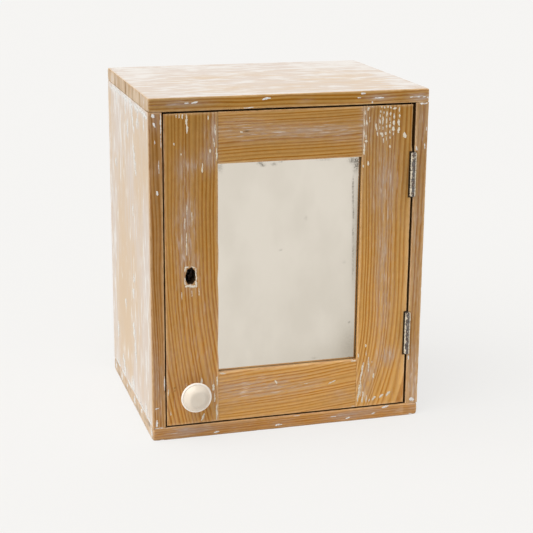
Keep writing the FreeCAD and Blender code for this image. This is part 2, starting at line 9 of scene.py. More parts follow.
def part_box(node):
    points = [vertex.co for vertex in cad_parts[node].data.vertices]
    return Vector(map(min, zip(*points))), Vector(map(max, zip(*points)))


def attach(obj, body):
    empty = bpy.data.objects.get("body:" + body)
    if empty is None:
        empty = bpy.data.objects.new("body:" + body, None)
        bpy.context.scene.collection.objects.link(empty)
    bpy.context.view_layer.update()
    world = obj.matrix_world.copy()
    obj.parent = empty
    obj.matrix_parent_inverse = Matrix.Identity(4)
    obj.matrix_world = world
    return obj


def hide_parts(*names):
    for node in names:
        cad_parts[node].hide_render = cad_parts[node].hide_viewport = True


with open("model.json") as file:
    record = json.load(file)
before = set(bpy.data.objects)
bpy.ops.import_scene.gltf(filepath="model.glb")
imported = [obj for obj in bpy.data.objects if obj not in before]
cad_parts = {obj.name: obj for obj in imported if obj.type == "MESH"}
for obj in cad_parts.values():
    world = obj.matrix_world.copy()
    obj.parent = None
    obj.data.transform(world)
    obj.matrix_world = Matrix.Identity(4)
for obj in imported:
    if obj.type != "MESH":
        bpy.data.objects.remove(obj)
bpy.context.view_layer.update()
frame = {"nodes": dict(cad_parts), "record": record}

bl_info = {
    "name": "Pine mirror cabinet",
    "version": (1, 0, 0),
    "blender": (4, 5, 0),
    "location": "3D View > Sidebar > Cabinet",
    "description": "Builds a worn pine wall cabinet with a mirror door around its packed solids",
    "category": "Add Mesh",
}

# Lengths are millimetres, but meshes and the user's settings hold metres
MM = 0.001
X, Y, Z = range(3)


def cad_box(node):
    """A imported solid's lowest and highest corner."""
    low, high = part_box(node)
    return np.array(low) / MM, np.array(high) / MM


def ends_of(node, axis):
    """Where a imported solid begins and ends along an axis, to a hundredth of a millimetre."""
    return tuple(round(float(corner[axis]), 2) for corner in cad_box(node))


def middle_of(node, axis):
    """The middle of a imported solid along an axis."""
    low, high = cad_box(node)
    return round(float(low[axis] + high[axis]) / 2, 2)


# Places in the cabinet's frame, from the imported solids
HALF_WIDTH = ends_of("top_board", X)[1]
FRONT, BACK = ends_of("top_board", Y)
HEIGHT = ends_of("top_board", Z)[1]
BOARD = ends_of("bottom_board", Z)[1]
INNER_X = HALF_WIDTH - BOARD
BACK_INNER = ends_of("back_board_1", Y)[0]
BACK_REACH = -ends_of("back_board_1", X)[0]
BACK_WIDTH = 2 * BACK_REACH / 3
REBATE = BACK - BACK_INNER
DOOR_X = (ends_of("left_stile", X)[0], ends_of("right_stile", X)[1])
DOOR_Y = ends_of("left_stile", Y)
DOOR_Z = ends_of("left_stile", Z)
SIGHT_X = (ends_of("left_stile", X)[1], ends_of("right_stile", X)[0])
SIGHT_Z = (ends_of("bottom_rail", Z)[1], ends_of("top_rail", Z)[0])
GLASS_Y = ends_of("mirror", Y)[0]
BEAD_X = (ends_of("glazing_bead_left", X)[1], ends_of("glazing_bead_right", X)[0])
BEAD_Z = (ends_of("glazing_bead_bottom", Z)[1], ends_of("glazing_bead_top", Z)[0])
KEYHOLE = (middle_of("lock_drill_pin", X), middle_of("lock_drill_pin", Z))
KNOB = (middle_of("knob", X), middle_of("knob", Z))
HINGE_AXIS = (middle_of("hinge_upper_pin", X), middle_of("hinge_upper_pin", Y))
HINGE_Z = {level: middle_of("hinge_%s_pin" % level, Z) for level in ("upper", "lower")}
HINGE_LENGTH = round(float(np.ptp(ends_of("hinge_upper_door_leaf", Z))), 2)
KNUCKLES = 5
KNUCKLE_RADIUS = round(HINGE_AXIS[1] - ends_of("hinge_upper_door_leaf", Y)[0], 2)
LEAF_THICK = 1.1
LEAF_X = {"cabinet": (INNER_X - LEAF_THICK, INNER_X), "door": (DOOR_X[1], DOOR_X[1] + LEAF_THICK)}
WALL_MOUNT = next(mount for mount in frame["record"]["mounts"] if mount["name"] == "wall_screws")
WALL_HOLES = [(hand * WALL_MOUNT["dims"]["spacing_x_mm"] / 2, round(WALL_MOUNT["pos_m"][Z] / MM, 2))
              for hand in (-1, 1)]

# Distances from an edge at which a board's grid has lines, for its rounding
EDGE_TICKS = (0.0, 0.3, 0.7, 1.2, 2.0, 3.2)
# How far a cutter goes past the wood
PAST = 1.0

# Fasteners: (length, shank radius, head radius, head height, depth of the head below the wood)
NAIL = (40.0, 0.9, 1.9, 1.0, 0.8)
SCREW = (12.0, 1.3, 2.7, 1.4, 0.0)
UP, DOWN, IN = (0, 0, 1), (0, 0, -1), (0, -1, 0)
TO_SIDE, FROM_SIDE = (1, 0, 0), (-1, 0, 0)


def brad(length):
    return (length, 0.6, 1.2, 0.6, 0.3)


def both(places):
    """Each (x, y, z) on the right and its mirror place on the left."""
    return [(hand * x, y, z) for x, y, z in places for hand in (-1, 1)]


def towards(points, way):
    """Pairs of a point and the way of driving; a way along X turns round on the left."""
    pairs = []
    for point in points:
        turn = math.copysign(1.0, point[0]) if way[0] else 1.0
        pairs.append((point, (way[0] * turn, way[1], way[2])))
    return pairs


def fastener_places():
    """For each node of fasteners its sizes and its sites, as pairs of a point and the way of driving."""
    side_nails = [(HALF_WIDTH - BOARD / 2, y) for y in (-95, 0, 95)]
    rail_nail = (55, middle_of("hanging_rail", Y), HEIGHT)
    levels = ("lower", "upper")
    cleat_x = ends_of("shelf_cleat_lower_right", X)
    cleat_y = ends_of("shelf_cleat_lower_right", Y)
    cleat_z = [middle_of("shelf_cleat_%s_right" % level, Z) for level in levels]
    shelf_z = [ends_of(level + "_shelf", Z)[1] for level in levels]
    brad_y = (cleat_y[0] + 25.0, cleat_y[1] - 25.0)
    stop_y = middle_of("door_stop_top", Y)
    bead_y = middle_of("glazing_bead_top", Y)
    from_corner = 18.0
    bead_brads_x = (BEAD_X[0] + from_corner, BEAD_X[1] - from_corner)
    bead_brads_z = (BEAD_Z[0] + from_corner, sum(BEAD_Z) / 2, BEAD_Z[1] - from_corner)
    back_end, side_rebate_x = 11, INNER_X + REBATE / 2
    back_brads = [(round(board * BACK_WIDTH, 2) + dx, BACK, z)
                  for board in (-1, 0, 1) for dx in (-30, 30) for z in (back_end, HEIGHT - back_end)]
    back_brads += both([(side_rebate_x, BACK, z) for z in (90, HEIGHT / 2, 300)])
    leaf_y = middle_of("door_hinge_screws", Y)
    leaf_z = [z + dz for z in HINGE_Z.values() for dz in (-18, 0, 18)]
    case_x = ends_of("lock_case", X)
    case_z = ends_of("lock_case", Z)
    return {
        "carcass_nails": (NAIL, towards(both([(*place, HEIGHT) for place in side_nails] + [rail_nail]), DOWN)
                          + towards(both([(*place, 0) for place in side_nails]), UP)),
        "back_brads": (brad(20), towards(back_brads, IN)),
        "cleat_brads": (brad(22), towards(
            both([(cleat_x[0], y, z) for y in brad_y for z in cleat_z]), TO_SIDE)),
        "shelf_brads": (brad(23), towards(
            both([(sum(cleat_x) / 2, y + 7.5, z) for y in brad_y for z in shelf_z]), DOWN)),
        "stop_brads": (brad(20), [
            pair for node, end, way in (("door_stop_top", 0, UP), ("door_stop_bottom", 1, DOWN))
            for pair in towards([(x, stop_y, ends_of(node, Z)[end]) for x in (-120, 0, 120)], way)]),
        "bead_brads": (brad(14), towards([(x, bead_y, z) for x in BEAD_X for z in bead_brads_z], TO_SIDE)
                       + towards([(x, bead_y, BEAD_Z[0]) for x in bead_brads_x], DOWN)
                       + towards([(x, bead_y, BEAD_Z[1]) for x in bead_brads_x], UP)),
        "cabinet_hinge_screws": (SCREW, towards(
            [(LEAF_X["cabinet"][0], leaf_y, z) for z in leaf_z], TO_SIDE)),
        "door_hinge_screws": (SCREW, towards(
            [(LEAF_X["door"][1], leaf_y, z) for z in leaf_z], FROM_SIDE)),
        "lock_screws": (SCREW, towards([(x, DOOR_Y[1] + 1.5, z) for x in (case_x[0] + 7, case_x[1] - 7)
                                        for z in (case_z[0] + 5, case_z[1] - 5)], IN)),
    }


FASTENERS = fastener_places()

# Grey film that old paint left on the front: (x, z, half width, half height, strength)
DOOR_FILM = (
    (-121, 314, 9.5, 17, 0.8), (-110, 315, 3.5, 6, 0.6), (-95, 322, 9.5, 13, 0.85), (-121, 242, 9.5, 38, 1),
    (-115, 261, 7, 19, 0.5), (-89, 347, 4.5, 24, 1), (-98, 353, 2.5, 11, 0.5), (-108, 210, 3, 7, 0.5),
    (-115, 190, 9, 14, 0.9), (-61, 355, 25.5, 14, 0.55), (-23, 349, 40, 7, 0.6), (34, 347, 30.5, 8, 0.5),
    (61, 343, 18.5, 10, 0.4), (-40, 53, 45, 12, 0.85), (63, 34, 16.5, 7, 0.5), (14, 52, 35, 10, 0.35),
    (86, 351, 6, 28, 1), (110, 277, 16.5, 54, 0.6), (114, 300, 11.5, 24, 0.4), (114, 146, 11.5, 60, 0.45),
    (121, 77, 11.5, 12, 1), (97, 59, 4.5, 14, 0.6), (95, 39, 7, 14, 0.5), (111, 195, 9, 75, 0.5),
    (104, 350, 16, 18, 0.35), (0, 349, 70, 10, 0.35), (-45, 52, 40, 14, 0.25), (-120, 212, 6.5, 10, 0.7),
    (-113, 90, 45, 95, 0.26), (103, 62, 6, 10, 0.6), (92, 44, 5, 9, 0.5),
)
CARCASS_FILM = (
    (-122, 383, 24, 4, 1.15), (15, 381.5, 9, 2.5, 0.5), (102, 382, 15, 3.5, 1.4), (148, 381, 12, 4, 1.4),
    (152, 350, 7, 30, 0.65), (154, 43.5, 6, 34, 1.25), (-153, 367, 6, 12, 0.7), (-152, 313, 5, 7, 0.4),
    (-155, 55.5, 6, 26.5, 0.45), (-4, 8.5, 18, 5, 0.75), (70, 7.5, 24, 5, 1), (133, 6, 14, 5.5, 0.5),
    (-58, 9, 24, 5.5, 0.25), (-120, 9, 30, 7, 1), (104, 10, 18, 4, 0.4), (-155, 91.5, 5, 24, 0.35),
    (152, 215, 6, 95, 0.5),
)
# Remains of white paint on the door's front: (x, z) of both ends and the width
DOOR_FLECKS = (
    (-126, 372.5, -126.5, 367.5, 1.4), (-122.5, 372.5, -122.5, 366.5, 2), (-118.5, 372.5, -117.5, 350.5, 2),
    (-129.5, 372, -129.5, 368, 0.8), (-94.5, 370, -94.5, 364.5, 1.6), (-85, 334, -85, 319.5, 1.8),
    (-92.5, 333, -92.5, 328.5, 2), (-132, 341.5, -132, 338.5, 1.6), (-124.5, 330, -124.5, 327, 1.2),
    (-101, 318, -101, 307, 1.6), (-87, 360, -86.5, 347, 1.2), (-88.5, 345, -87.5, 335, 1.2),
    (-118.5, 272.5, -118.5, 261.5, 1), (-119, 242.5, -119.5, 215, 1), (-113, 264.5, -113, 253, 0.8),
    (-121, 258, -121, 245.5, 0.8), (-122, 202, -116.5, 202.5, 1.8), (-121, 202, -121, 196.5, 1.6),
    (-109, 200.5, -108.5, 184, 1.4), (-121.5, 180, -108, 180, 3.4), (-109, 186, -108.5, 178, 2.2),
    (-121.5, 191, -121, 181, 1.2), (-114.5, 202.5, -109.5, 200.5, 1.2), (-105.5, 177.5, -105.5, 168, 0.8),
    (-125, 174, -125, 165, 0.8), (-113.5, 175.5, -113.5, 167.5, 0.8), (-103, 71.5, -103.5, 62.5, 2),
    (-121, 66.5, -121, 62, 0.8), (-89, 62.5, -90, 54, 2.4), (-88, 51.5, -88, 40.5, 1.6),
    (-85, 71.5, -85, 59.5, 1.4), (-85.5, 37.5, -85.5, 18, 1.8), (-82.5, 75, -77, 74.5, 1.4),
    (-99.5, 28, -104, 19, 2.2), (-141.5, 61.5, -141.5, 53, 1.2), (-139, 34.5, -139, 28.5, 1),
    (104, 372.5, 104, 370.5, 1.6), (107.5, 372, 107.5, 369, 1.6), (111, 372.5, 111, 370, 1.6),
    (114.5, 372, 115, 368.5, 1.2), (117, 368.5, 122, 370, 1.8), (103, 368, 103, 364.5, 1.2),
    (106.5, 367, 106.5, 363, 1.2), (110, 366.5, 110.5, 360, 1.6), (114.5, 365.5, 114.5, 361, 1.4),
    (118.5, 364, 119, 357, 1.6), (125, 362.5, 125.5, 358, 1.6), (105.5, 361, 106, 351, 1.4),
    (110, 358.5, 110, 352, 1.6), (114, 359.5, 114, 355, 1.2), (102, 358, 102.5, 352.5, 1.2),
    (119, 356, 119, 350, 2.4), (124.5, 357, 125, 349, 2.2), (97.5, 353.5, 98.5, 344.5, 1.6),
    (110, 351, 110, 347.5, 1.6), (114, 352, 114.5, 347.5, 2), (118.5, 349, 119, 343.5, 3),
    (125, 348, 125, 341, 3.2), (132, 342, 133, 335, 3.2), (104.5, 343, 105.5, 337.5, 3.6),
    (109.5, 343.5, 110, 339.5, 2.2), (99.5, 343.5, 100, 339, 1.6), (107, 336.5, 107, 330.5, 1.6),
    (115, 328, 115, 324.5, 1.6), (114.5, 338, 115, 335, 1), (88.5, 372, 88, 367.5, 2.2),
    (84.5, 368.5, 84.5, 363, 1.2), (86, 341, 86.5, 336, 2.4), (84.5, 333.5, 88.5, 333, 2.8),
    (84.5, 331.5, 84.5, 318, 2), (89.5, 311, 89.5, 305.5, 2), (84, 307, 84, 303.5, 1.8),
    (84, 359, 84, 350, 0.8), (84, 346, 84.5, 338, 1.2), (91.5, 372, 94, 371.5, 0.8),
    (91, 72, 87.5, 49, 2.2), (88, 50, 84.5, 23, 2.2), (97, 78, 97.5, 59, 1.4), (91.5, 36, 90.5, 21, 1.8),
    (96, 30.5, 95.5, 20.5, 1.2), (100, 25.5, 98.5, 22, 1.8), (107, 28, 103, 23, 2.4),
    (117, 29.5, 111.5, 25, 2.8), (125.5, 32.5, 120, 26.5, 2.8), (104, 57.5, 104, 50.5, 1.6),
    (101.5, 72.5, 101.5, 69.5, 0.8), (93, 94, 93.5, 90, 1.6), (94, 86.5, 94, 79.5, 0.8),
    (87, 40, 86, 27.5, 1.2), (84, 83.5, 84, 78, 2), (75, 75, 82, 75, 2), (89, 46, 88, 29, 0.8),
    (-17, 60.5, -14, 55, 1.6), (48, 49, 57, 53, 1.6), (18.5, 52.5, 23.5, 52.5, 0.8),
    (-59, 350.5, -55.5, 350, 1.8), (77, 18, 82.5, 18, 0.8), (-80.5, 73.5, -74.5, 73.5, 0.8),
    (102.5, 363.5, 102.5, 359.5, 1), (102, 350.5, 102, 346, 1), (106, 349.5, 106, 345, 1.2),
    (114.5, 354.5, 114.5, 352.5, 1), (114.5, 345.5, 114.5, 341, 1.2), (125, 370.5, 125, 364.5, 1.2),
    (118.5, 342.5, 118.5, 338, 1), (110, 338.5, 110.5, 333, 0.8), (90, 361, 90, 354, 1),
    (86.5, 357.5, 87, 351, 1.4),
)
CARCASS_FLECKS = (
    (-120.5, 383.5, -115, 384, 1.2), (-113, 383, -105.5, 385, 1.6), (-34.5, 385, -24.5, 386, 2.2),
    (78.5, 387, 84.5, 387.5, 1.8), (91.5, 377.5, 93.5, 377, 1.6), (95, 382, 106, 381.5, 1.4),
    (74.5, 382.5, 79, 382.5, 1), (136.5, 381, 141, 381.5, 1), (145, 381, 149, 381.5, 1.2),
    (152, 380.5, 156, 381, 1.2), (157, 380, 159, 380, 1.2), (-55.5, 376, -43.5, 376.5, 0.8),
    (-156, 373.5, -153, 369.5, 2.8), (-155, 364, -152, 359, 2.4), (-146.5, 374, -146.5, 351.5, 1.2),
    (-146.5, 351.5, -146.5, 336.5, 0.6), (-151, 290, -151, 284.5, 2.2), (-146, 77.5, -146, 59.5, 1),
    (-157, 39, -152, 40, 1.8), (-155.5, 25.5, -155, 17, 2.4), (-159, 15.5, -146, 15, 1.2),
    (-153, 345.5, -153, 341, 0.8), (-149, 323.5, -149, 308.5, 0.6), (149, 373, 154, 373.5, 2.2),
    (154, 373, 158.5, 373.5, 1.8), (147, 325.5, 147.5, 320, 1.6), (149.5, 19.5, 156.5, 19.5, 3.4),
    (151, 21.5, 155, 21, 1.8), (147, 76.5, 146.5, 69.5, 1.6), (158, 347.5, 158, 342, 0.8),
    (156.5, 328.5, 157, 321.5, 1), (115, 13, 124.5, 14, 2), (-16, 4, -7.5, 5, 2), (-89.5, 3, -82.5, 4, 2),
    (149.5, 1.5, 154, 1.5, 1.2), (51, 7.5, 58.5, 7.5, 1.2), (5.5, 13.5, 14, 13.5, 0.8),
    (70, 3.5, 76, 4.5, 1.6), (102.5, 6.5, 107.5, 7, 1.4),
)
# The same on the outer face of a side: (y, z) of both ends and the width
SIDE_FLECKS = (
    (-4, 349, -1, 326, 7.5), (-25, 372, -43, 338, 8), (-60, 359, -59, 346, 7), (-36, 326, -50, 290, 8.5),
    (79, 288, 80, 276, 9), (-28, 255, -27, 239, 6), (-26, 170, -25, 158, 8), (-21, 151, -20, 138, 9),
    (31, 123, 31, 112, 8), (88, 76, 90, 54, 10), (-17, 108, -22, 88, 11), (-26, 90, -30, 60, 9),
    (60, 42, 40, 20, 11), (-6, 37, -11, 17, 11), (-86, 32, -92, 14, 8), (112, 370, 94, 368, 4.5),
    (89, 372, 61, 370, 5), (58, 372, 37, 370, 4.5), (22, 372, -6, 369, 5.5), (-14, 372, -36, 369, 5),
    (-44, 371, -73, 368, 6), (-75, 372, -91, 370, 4.5), (-92, 371, -121, 368, 6), (10, 366, 8, 352, 6),
    (-66, 366, -68, 347, 5.5), (-100, 366, -102, 350, 5.5), (70, 367, 68, 354, 7), (107, 19, 78, 18, 5),
    (66, 18, 44, 18, 6), (30, 18, -3, 18, 5), (-20, 19, -40, 18, 6), (-48, 18, -78, 18, 4.5),
    (-96, 18, -118, 18, 5), (112, 14, 109, 5, 8), (72, 14, 68, 3, 9), (34, 13, 31, 8, 7),
    (-14, 14, -17, 4, 9), (-58, 14, -60, 9, 7), (-116, 14, -119, 3, 6),
)
# Spots and lines where the mirror's silver has gone: (x, z, half width, half height, strength)
TARNISH = (
    (-34.5, 313.5, 3, 1.5, 0.9), (-31, 311, 2.5, 1.5, 0.9), (-18.5, 311.5, 3, 1.5, 0.8),
    (-10.5, 314, 2.5, 1, 0.6), (-80, 311, 3, 5, 0.5), (73.5, 311.5, 4.5, 3.5, 0.9), (78.5, 309, 3, 5, 0.95),
    (77, 302.5, 2.5, 5, 0.7), (40, 313.5, 8, 1, 0.4), (74.5, 283, 1, 9, 1), (75, 266, 1, 9, 0.9),
    (76, 250, 1, 7, 1), (76, 228, 1, 9, 0.8), (76.5, 205, 1, 12, 0.75), (77, 182, 1, 10, 0.65),
    (74.5, 120.5, 1.5, 1, 0.9), (19.5, 248, 1.5, 2, 0.3), (-9.5, 213, 2, 1, 0.35),
    # The last spot, low on the right, is also painted reflection: darker where the mirror shows shade
    (66, 193.5, 1.5, 1.5, 0.25), (32, 80.5, 3, 1, 0.5), (80, 230, 2, 60, 0.2), (78, 95, 12, 22, 0.16),
)
# Painted reflection: darker silver where what the mirror shows is darker, given in the same way
REFLECTED_SHADE = (
    (80, 85, 30, 40, 0.7), (80.5, 235, 4.5, 85, 0.5), (20, 75, 110, 20, 0.2), (84, 200, 12, 90, 0.2),
    (0, 150, 80, 60, 0.1),
)
# Whiter places on the top: (x, y, half width, half depth, strength)
TOP_WHITE = (
    (-75, -116, 36, 7, 0.2), (-140, 60, 22, 50, 0.18), (110, 90, 40, 30, 0.2), (-60, 100, 80, 20, 0.12),
    (40, -60, 70, 30, -0.1), (120, -80, 30, 30, -0.05), (135, 118, 24, 8, 0.25), (150, 68, 14, 22, 0.3),
    (152, -15, 11, 24, 0.32), (143, -78, 12, 18, 0.3), (60, -119, 60, 5, 0.18),
)
# The same on a side, as (y, z, half depth, half height, strength)
SIDE_WHITE = (
    (0, 373, 160, 9, 0.16), (-124, 190, 4, 260, -0.16), (30, 330, 55, 50, 0.06), (-85, 315, 28, 45, -0.05),
    (-98, 170, 24, 80, 0.09), (40, 110, 45, 75, -0.1), (-95, 65, 25, 45, 0.05), (105, 170, 22, 150, 0.08),
    (20, 22, 120, 8, 0.1),
)
# Brown spots on the bottom board's ends, given in the same way
END_SPOTS = (
    (109, 12, 12, 3.5, 0.45), (86, 4, 16, 2.6, 0.4), (41, 3, 13, 2.4, 0.45), (14, 11, 10, 2.2, 0.25),
    (-37, 5, 18, 3, 0.4), (-86, 11, 14, 2.5, 0.3), (-104, 13, 6, 2.6, 0.7),
)
# Small dark marks on the door, given as the film is
DARK_SPECKS = (
    (-133.9, 62, 0.8, 0.8, 0.9), (-134, 58.4, 0.8, 0.8, 0.8), (-51.3, 350.8, 2.6, 1, 0.75),
)
# The opening's left edge is worn wavy: (height, how far it has moved to the right)
WAVY_EDGE = (
    (75, 0.6), (92, 0.4), (102, -0.6), (112, -0.5), (122, 0), (148, 0.4), (162, 0.4), (176, -0.1),
    (184, -0.6), (196, 0.1), (208, 0.4), (220, 0.4), (226, 0), (316, 0),
)


# Shapes, as a pair of points and faces


def unit(way):
    way = np.array(way, float)
    return way / np.linalg.norm(way)


def ripple(points, length, seed, count=14):
    """A smooth random value of about -1 to 1 at each point; length is the size of its bumps."""
    rng = np.random.default_rng(seed)
    ways = rng.normal(size=(count, 3))
    turns = rng.uniform(0.6, 1.6, (count, 1)) * 2 * math.pi / length
    ways *= turns / np.linalg.norm(ways, axis=1, keepdims=True)
    return np.sin(points @ ways.T + rng.uniform(0, 2 * math.pi, count)).sum(1) / math.sqrt(1.3 * count)


def ramp(values, start, run):
    """0 up to a start, then rising to 1 over a run; a negative run turns it round."""
    return np.clip((values - start) / run, 0, 1)


def ticks(low, high, step):
    """Grid places from low to high, close together near both ends, where the edge is rounded."""
    near = [d for d in EDGE_TICKS if d < (high - low) * 0.4]
    count = max(1, round((high - low - 2 * near[-1]) / step))
    inner = np.linspace(low + near[-1], high - near[-1], count + 1)
    ends = np.array(near[:-1])
    return np.concatenate((low + ends, inner, (high - ends)[::-1]))


def grid_box(low, high, steps):
    """A closed box with a grid on each of its sides."""
    xs, ys, zs = (ticks(a, b, s) for a, b, s in zip(low, high, steps))
    shell = np.zeros((len(xs), len(ys), len(zs)), bool)
    shell[[0, -1]] = True
    shell[:, [0, -1]] = True
    shell[:, :, [0, -1]] = True
    number = np.zeros(shell.shape, int)
    number[shell] = np.arange(shell.sum())
    i, j, k = np.nonzero(shell)
    points = np.column_stack((xs[i], ys[j], zs[k]))
    faces = []
    sides = ((number[0], True), (number[-1], False), (number[:, 0], False), (number[:, -1], True),
             (number[:, :, 0], True), (number[:, :, -1], False))
    for sheet, turn in sides:
        quads = np.stack((sheet[:-1, :-1], sheet[1:, :-1], sheet[1:, 1:], sheet[:-1, 1:]), -1).reshape(-1, 4)
        faces.append(quads[:, ::-1] if turn else quads)
    return points, np.concatenate(faces).tolist()


def worn_block(low, high, steps, ease, wear, seed, corner=0.0):
    """A block whose edges are rounded unevenly, more where they are worn and at the corners."""
    wear_size, nick_size, corner_size = 45, 11, 7
    low = np.array(low, float)
    high = np.array(high, float)
    points, faces = grid_box(low, high, steps)
    to_corner = np.linalg.norm(np.minimum(points - low, high - points), axis=1)
    radius = ease + wear * np.clip(0.4 + 0.6 * ripple(points, wear_size, seed), 0, 2)
    radius += wear * 2.2 * np.clip(ripple(points, nick_size, seed + 1) - 0.8, 0, 1)
    radius += corner * np.exp(-(to_corner / corner_size) ** 2)
    radius = np.minimum(radius, 0.45 * (high - low).min())[:, None]
    core = np.clip(points, low + radius, high - radius)
    away = points - core
    return core + away / np.linalg.norm(away, axis=1, keepdims=True) * radius, faces


def block(low, high):
    """A plain block, for cutting."""
    points = [(x, y, z) for x in (low[0], high[0]) for y in (low[1], high[1]) for z in (low[2], high[2])]
    faces = [[0, 1, 3, 2], [4, 6, 7, 5], [0, 4, 5, 1], [2, 3, 7, 6], [0, 2, 6, 4], [1, 5, 7, 3]]
    return np.array(points, float), faces


def turned(profile, sides, at, way):
    """A turned shape from (radius, distance) pairs; its first and last radius are 0."""
    way = unit(way)
    side = unit(np.cross(way, (0.31, 0.53, 0.79)))
    other = np.cross(way, side)
    angles = np.arange(sides) * 2 * math.pi / sides
    spokes = np.outer(np.cos(angles), side) + np.outer(np.sin(angles), other)
    at = np.array(at, float)
    points = [at + way * profile[0][1]]
    for radius, distance in profile[1:-1]:
        points.extend(at + way * distance + spokes * radius)
    points.append(at + way * profile[-1][1])
    faces = []
    last = len(points) - 1
    for n in range(sides):
        m = (n + 1) % sides
        faces.append([0, 1 + m, 1 + n])
        for ring in range(len(profile) - 3):
            a = 1 + ring * sides
            faces.append([a + n, a + m, a + sides + m, a + sides + n])
        a = 1 + (len(profile) - 3) * sides
        faces.append([last, a + n, a + m])
    return np.array(points), faces


def peg(radius, at, way, length, sides=24):
    return turned(((0, 0), (radius, 0), (radius, length), (0, length)), sides, at, way)


def sleeve(sides, rings):
    """Faces between rings of points that follow each other, and across both ends."""
    last = sides * (rings - 1)
    faces = []
    for a in range(0, last, sides):
        for n in range(sides):
            m = (n + 1) % sides
            faces.append([a + n, a + m, a + sides + m, a + sides + n])
    return faces + [list(range(sides))[::-1], list(range(last, last + sides))]


def prism(outline, places):
    """An upright outline of (x, z) points, pushed through several places along Y."""
    points = np.array([(x, y, z) for y in places for x, z in outline])
    return points, [face[::-1] for face in sleeve(len(outline), len(places))]


def joined(shapes):
    """Several shapes as one."""
    points = []
    faces = []
    start = 0
    for some_points, some_faces in shapes:
        points.append(some_points)
        faces.extend([[n + start for n in face] for face in some_faces])
        start += len(some_points)
    return np.concatenate(points), faces


# Blender objects


def place_mesh(name, shape):
    """A new object at the origin with a shape as its mesh."""
    mesh = bpy.data.meshes.new(name)
    mesh.from_pydata((np.asarray(shape[0]) * MM).tolist(), [], [list(face) for face in shape[1]])
    mesh.validate()
    piece = bpy.data.objects.new(name, mesh)
    bpy.context.scene.collection.objects.link(piece)
    return piece


def settle(piece):
    """Turns a piece's modifiers into plain mesh."""
    bpy.context.view_layer.update()
    whole = piece.evaluated_get(bpy.context.evaluated_depsgraph_get())
    mesh = bpy.data.meshes.new_from_object(whole)
    piece.modifiers.clear()
    old = piece.data
    piece.data = mesh
    bpy.data.meshes.remove(old)


def cut(piece, shape):
    """Takes a shape out of a piece."""
    cutter = place_mesh("cutter", shape)
    modifier = piece.modifiers.new("cut", "BOOLEAN")
    modifier.operation = "DIFFERENCE"
    modifier.solver = "EXACT"
    modifier.object = cutter
    settle(piece)
    mesh = cutter.data
    bpy.data.objects.remove(cutter)
    bpy.data.meshes.remove(mesh)


def smooth(piece, degrees=40.0):
    piece.data.shade_smooth()
    piece.data.set_sharp_from_angle(angle=math.radians(degrees))


def corners_of(piece):
    """A piece's points in millimetres, and their normals."""
    mesh = piece.data
    points = np.empty(len(mesh.vertices) * 3)
    mesh.vertices.foreach_get("co", points)
    normals = np.empty(len(mesh.vertices) * 3)
    mesh.vertex_normals.foreach_get("vector", normals)
    return points.reshape(-1, 3) / MM, normals.reshape(-1, 3)


def mark(piece, name, values):
    """Keeps a value for each point of a piece, for its material to read."""
    layer = piece.data.attributes.new(name, "FLOAT", "POINT")
    layer.data.foreach_set("value", np.clip(values, 0, 1).astype(np.float32))


def finish_with(piece, material):
    piece.data.materials.clear()
    piece.data.materials.append(material)


def hand_over(piece, material, node):
    """Gives a piece its material and the body of the solid that it hides."""
    finish_with(piece, material)
    bodies = frame["record"]["behaviour"]["bodies"]
    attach(piece, next(body for body, nodes in bodies.items() if node in nodes))
    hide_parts(node)


# Node trees


class Wire:
    """What leaves a node; a sum, difference or product of wires is a new node in the tree."""

    def __init__(self, wires, socket):
        self.wires = wires
        self.socket = socket

    def __add__(self, other):
        return self.wires.math("ADD", self, other)

    def __sub__(self, other):
        return self.wires.math("SUBTRACT", self, other)

    def __rsub__(self, other):
        return self.wires.math("SUBTRACT", other, self)

    def __mul__(self, other):
        return self.wires.math("MULTIPLY", self, other)


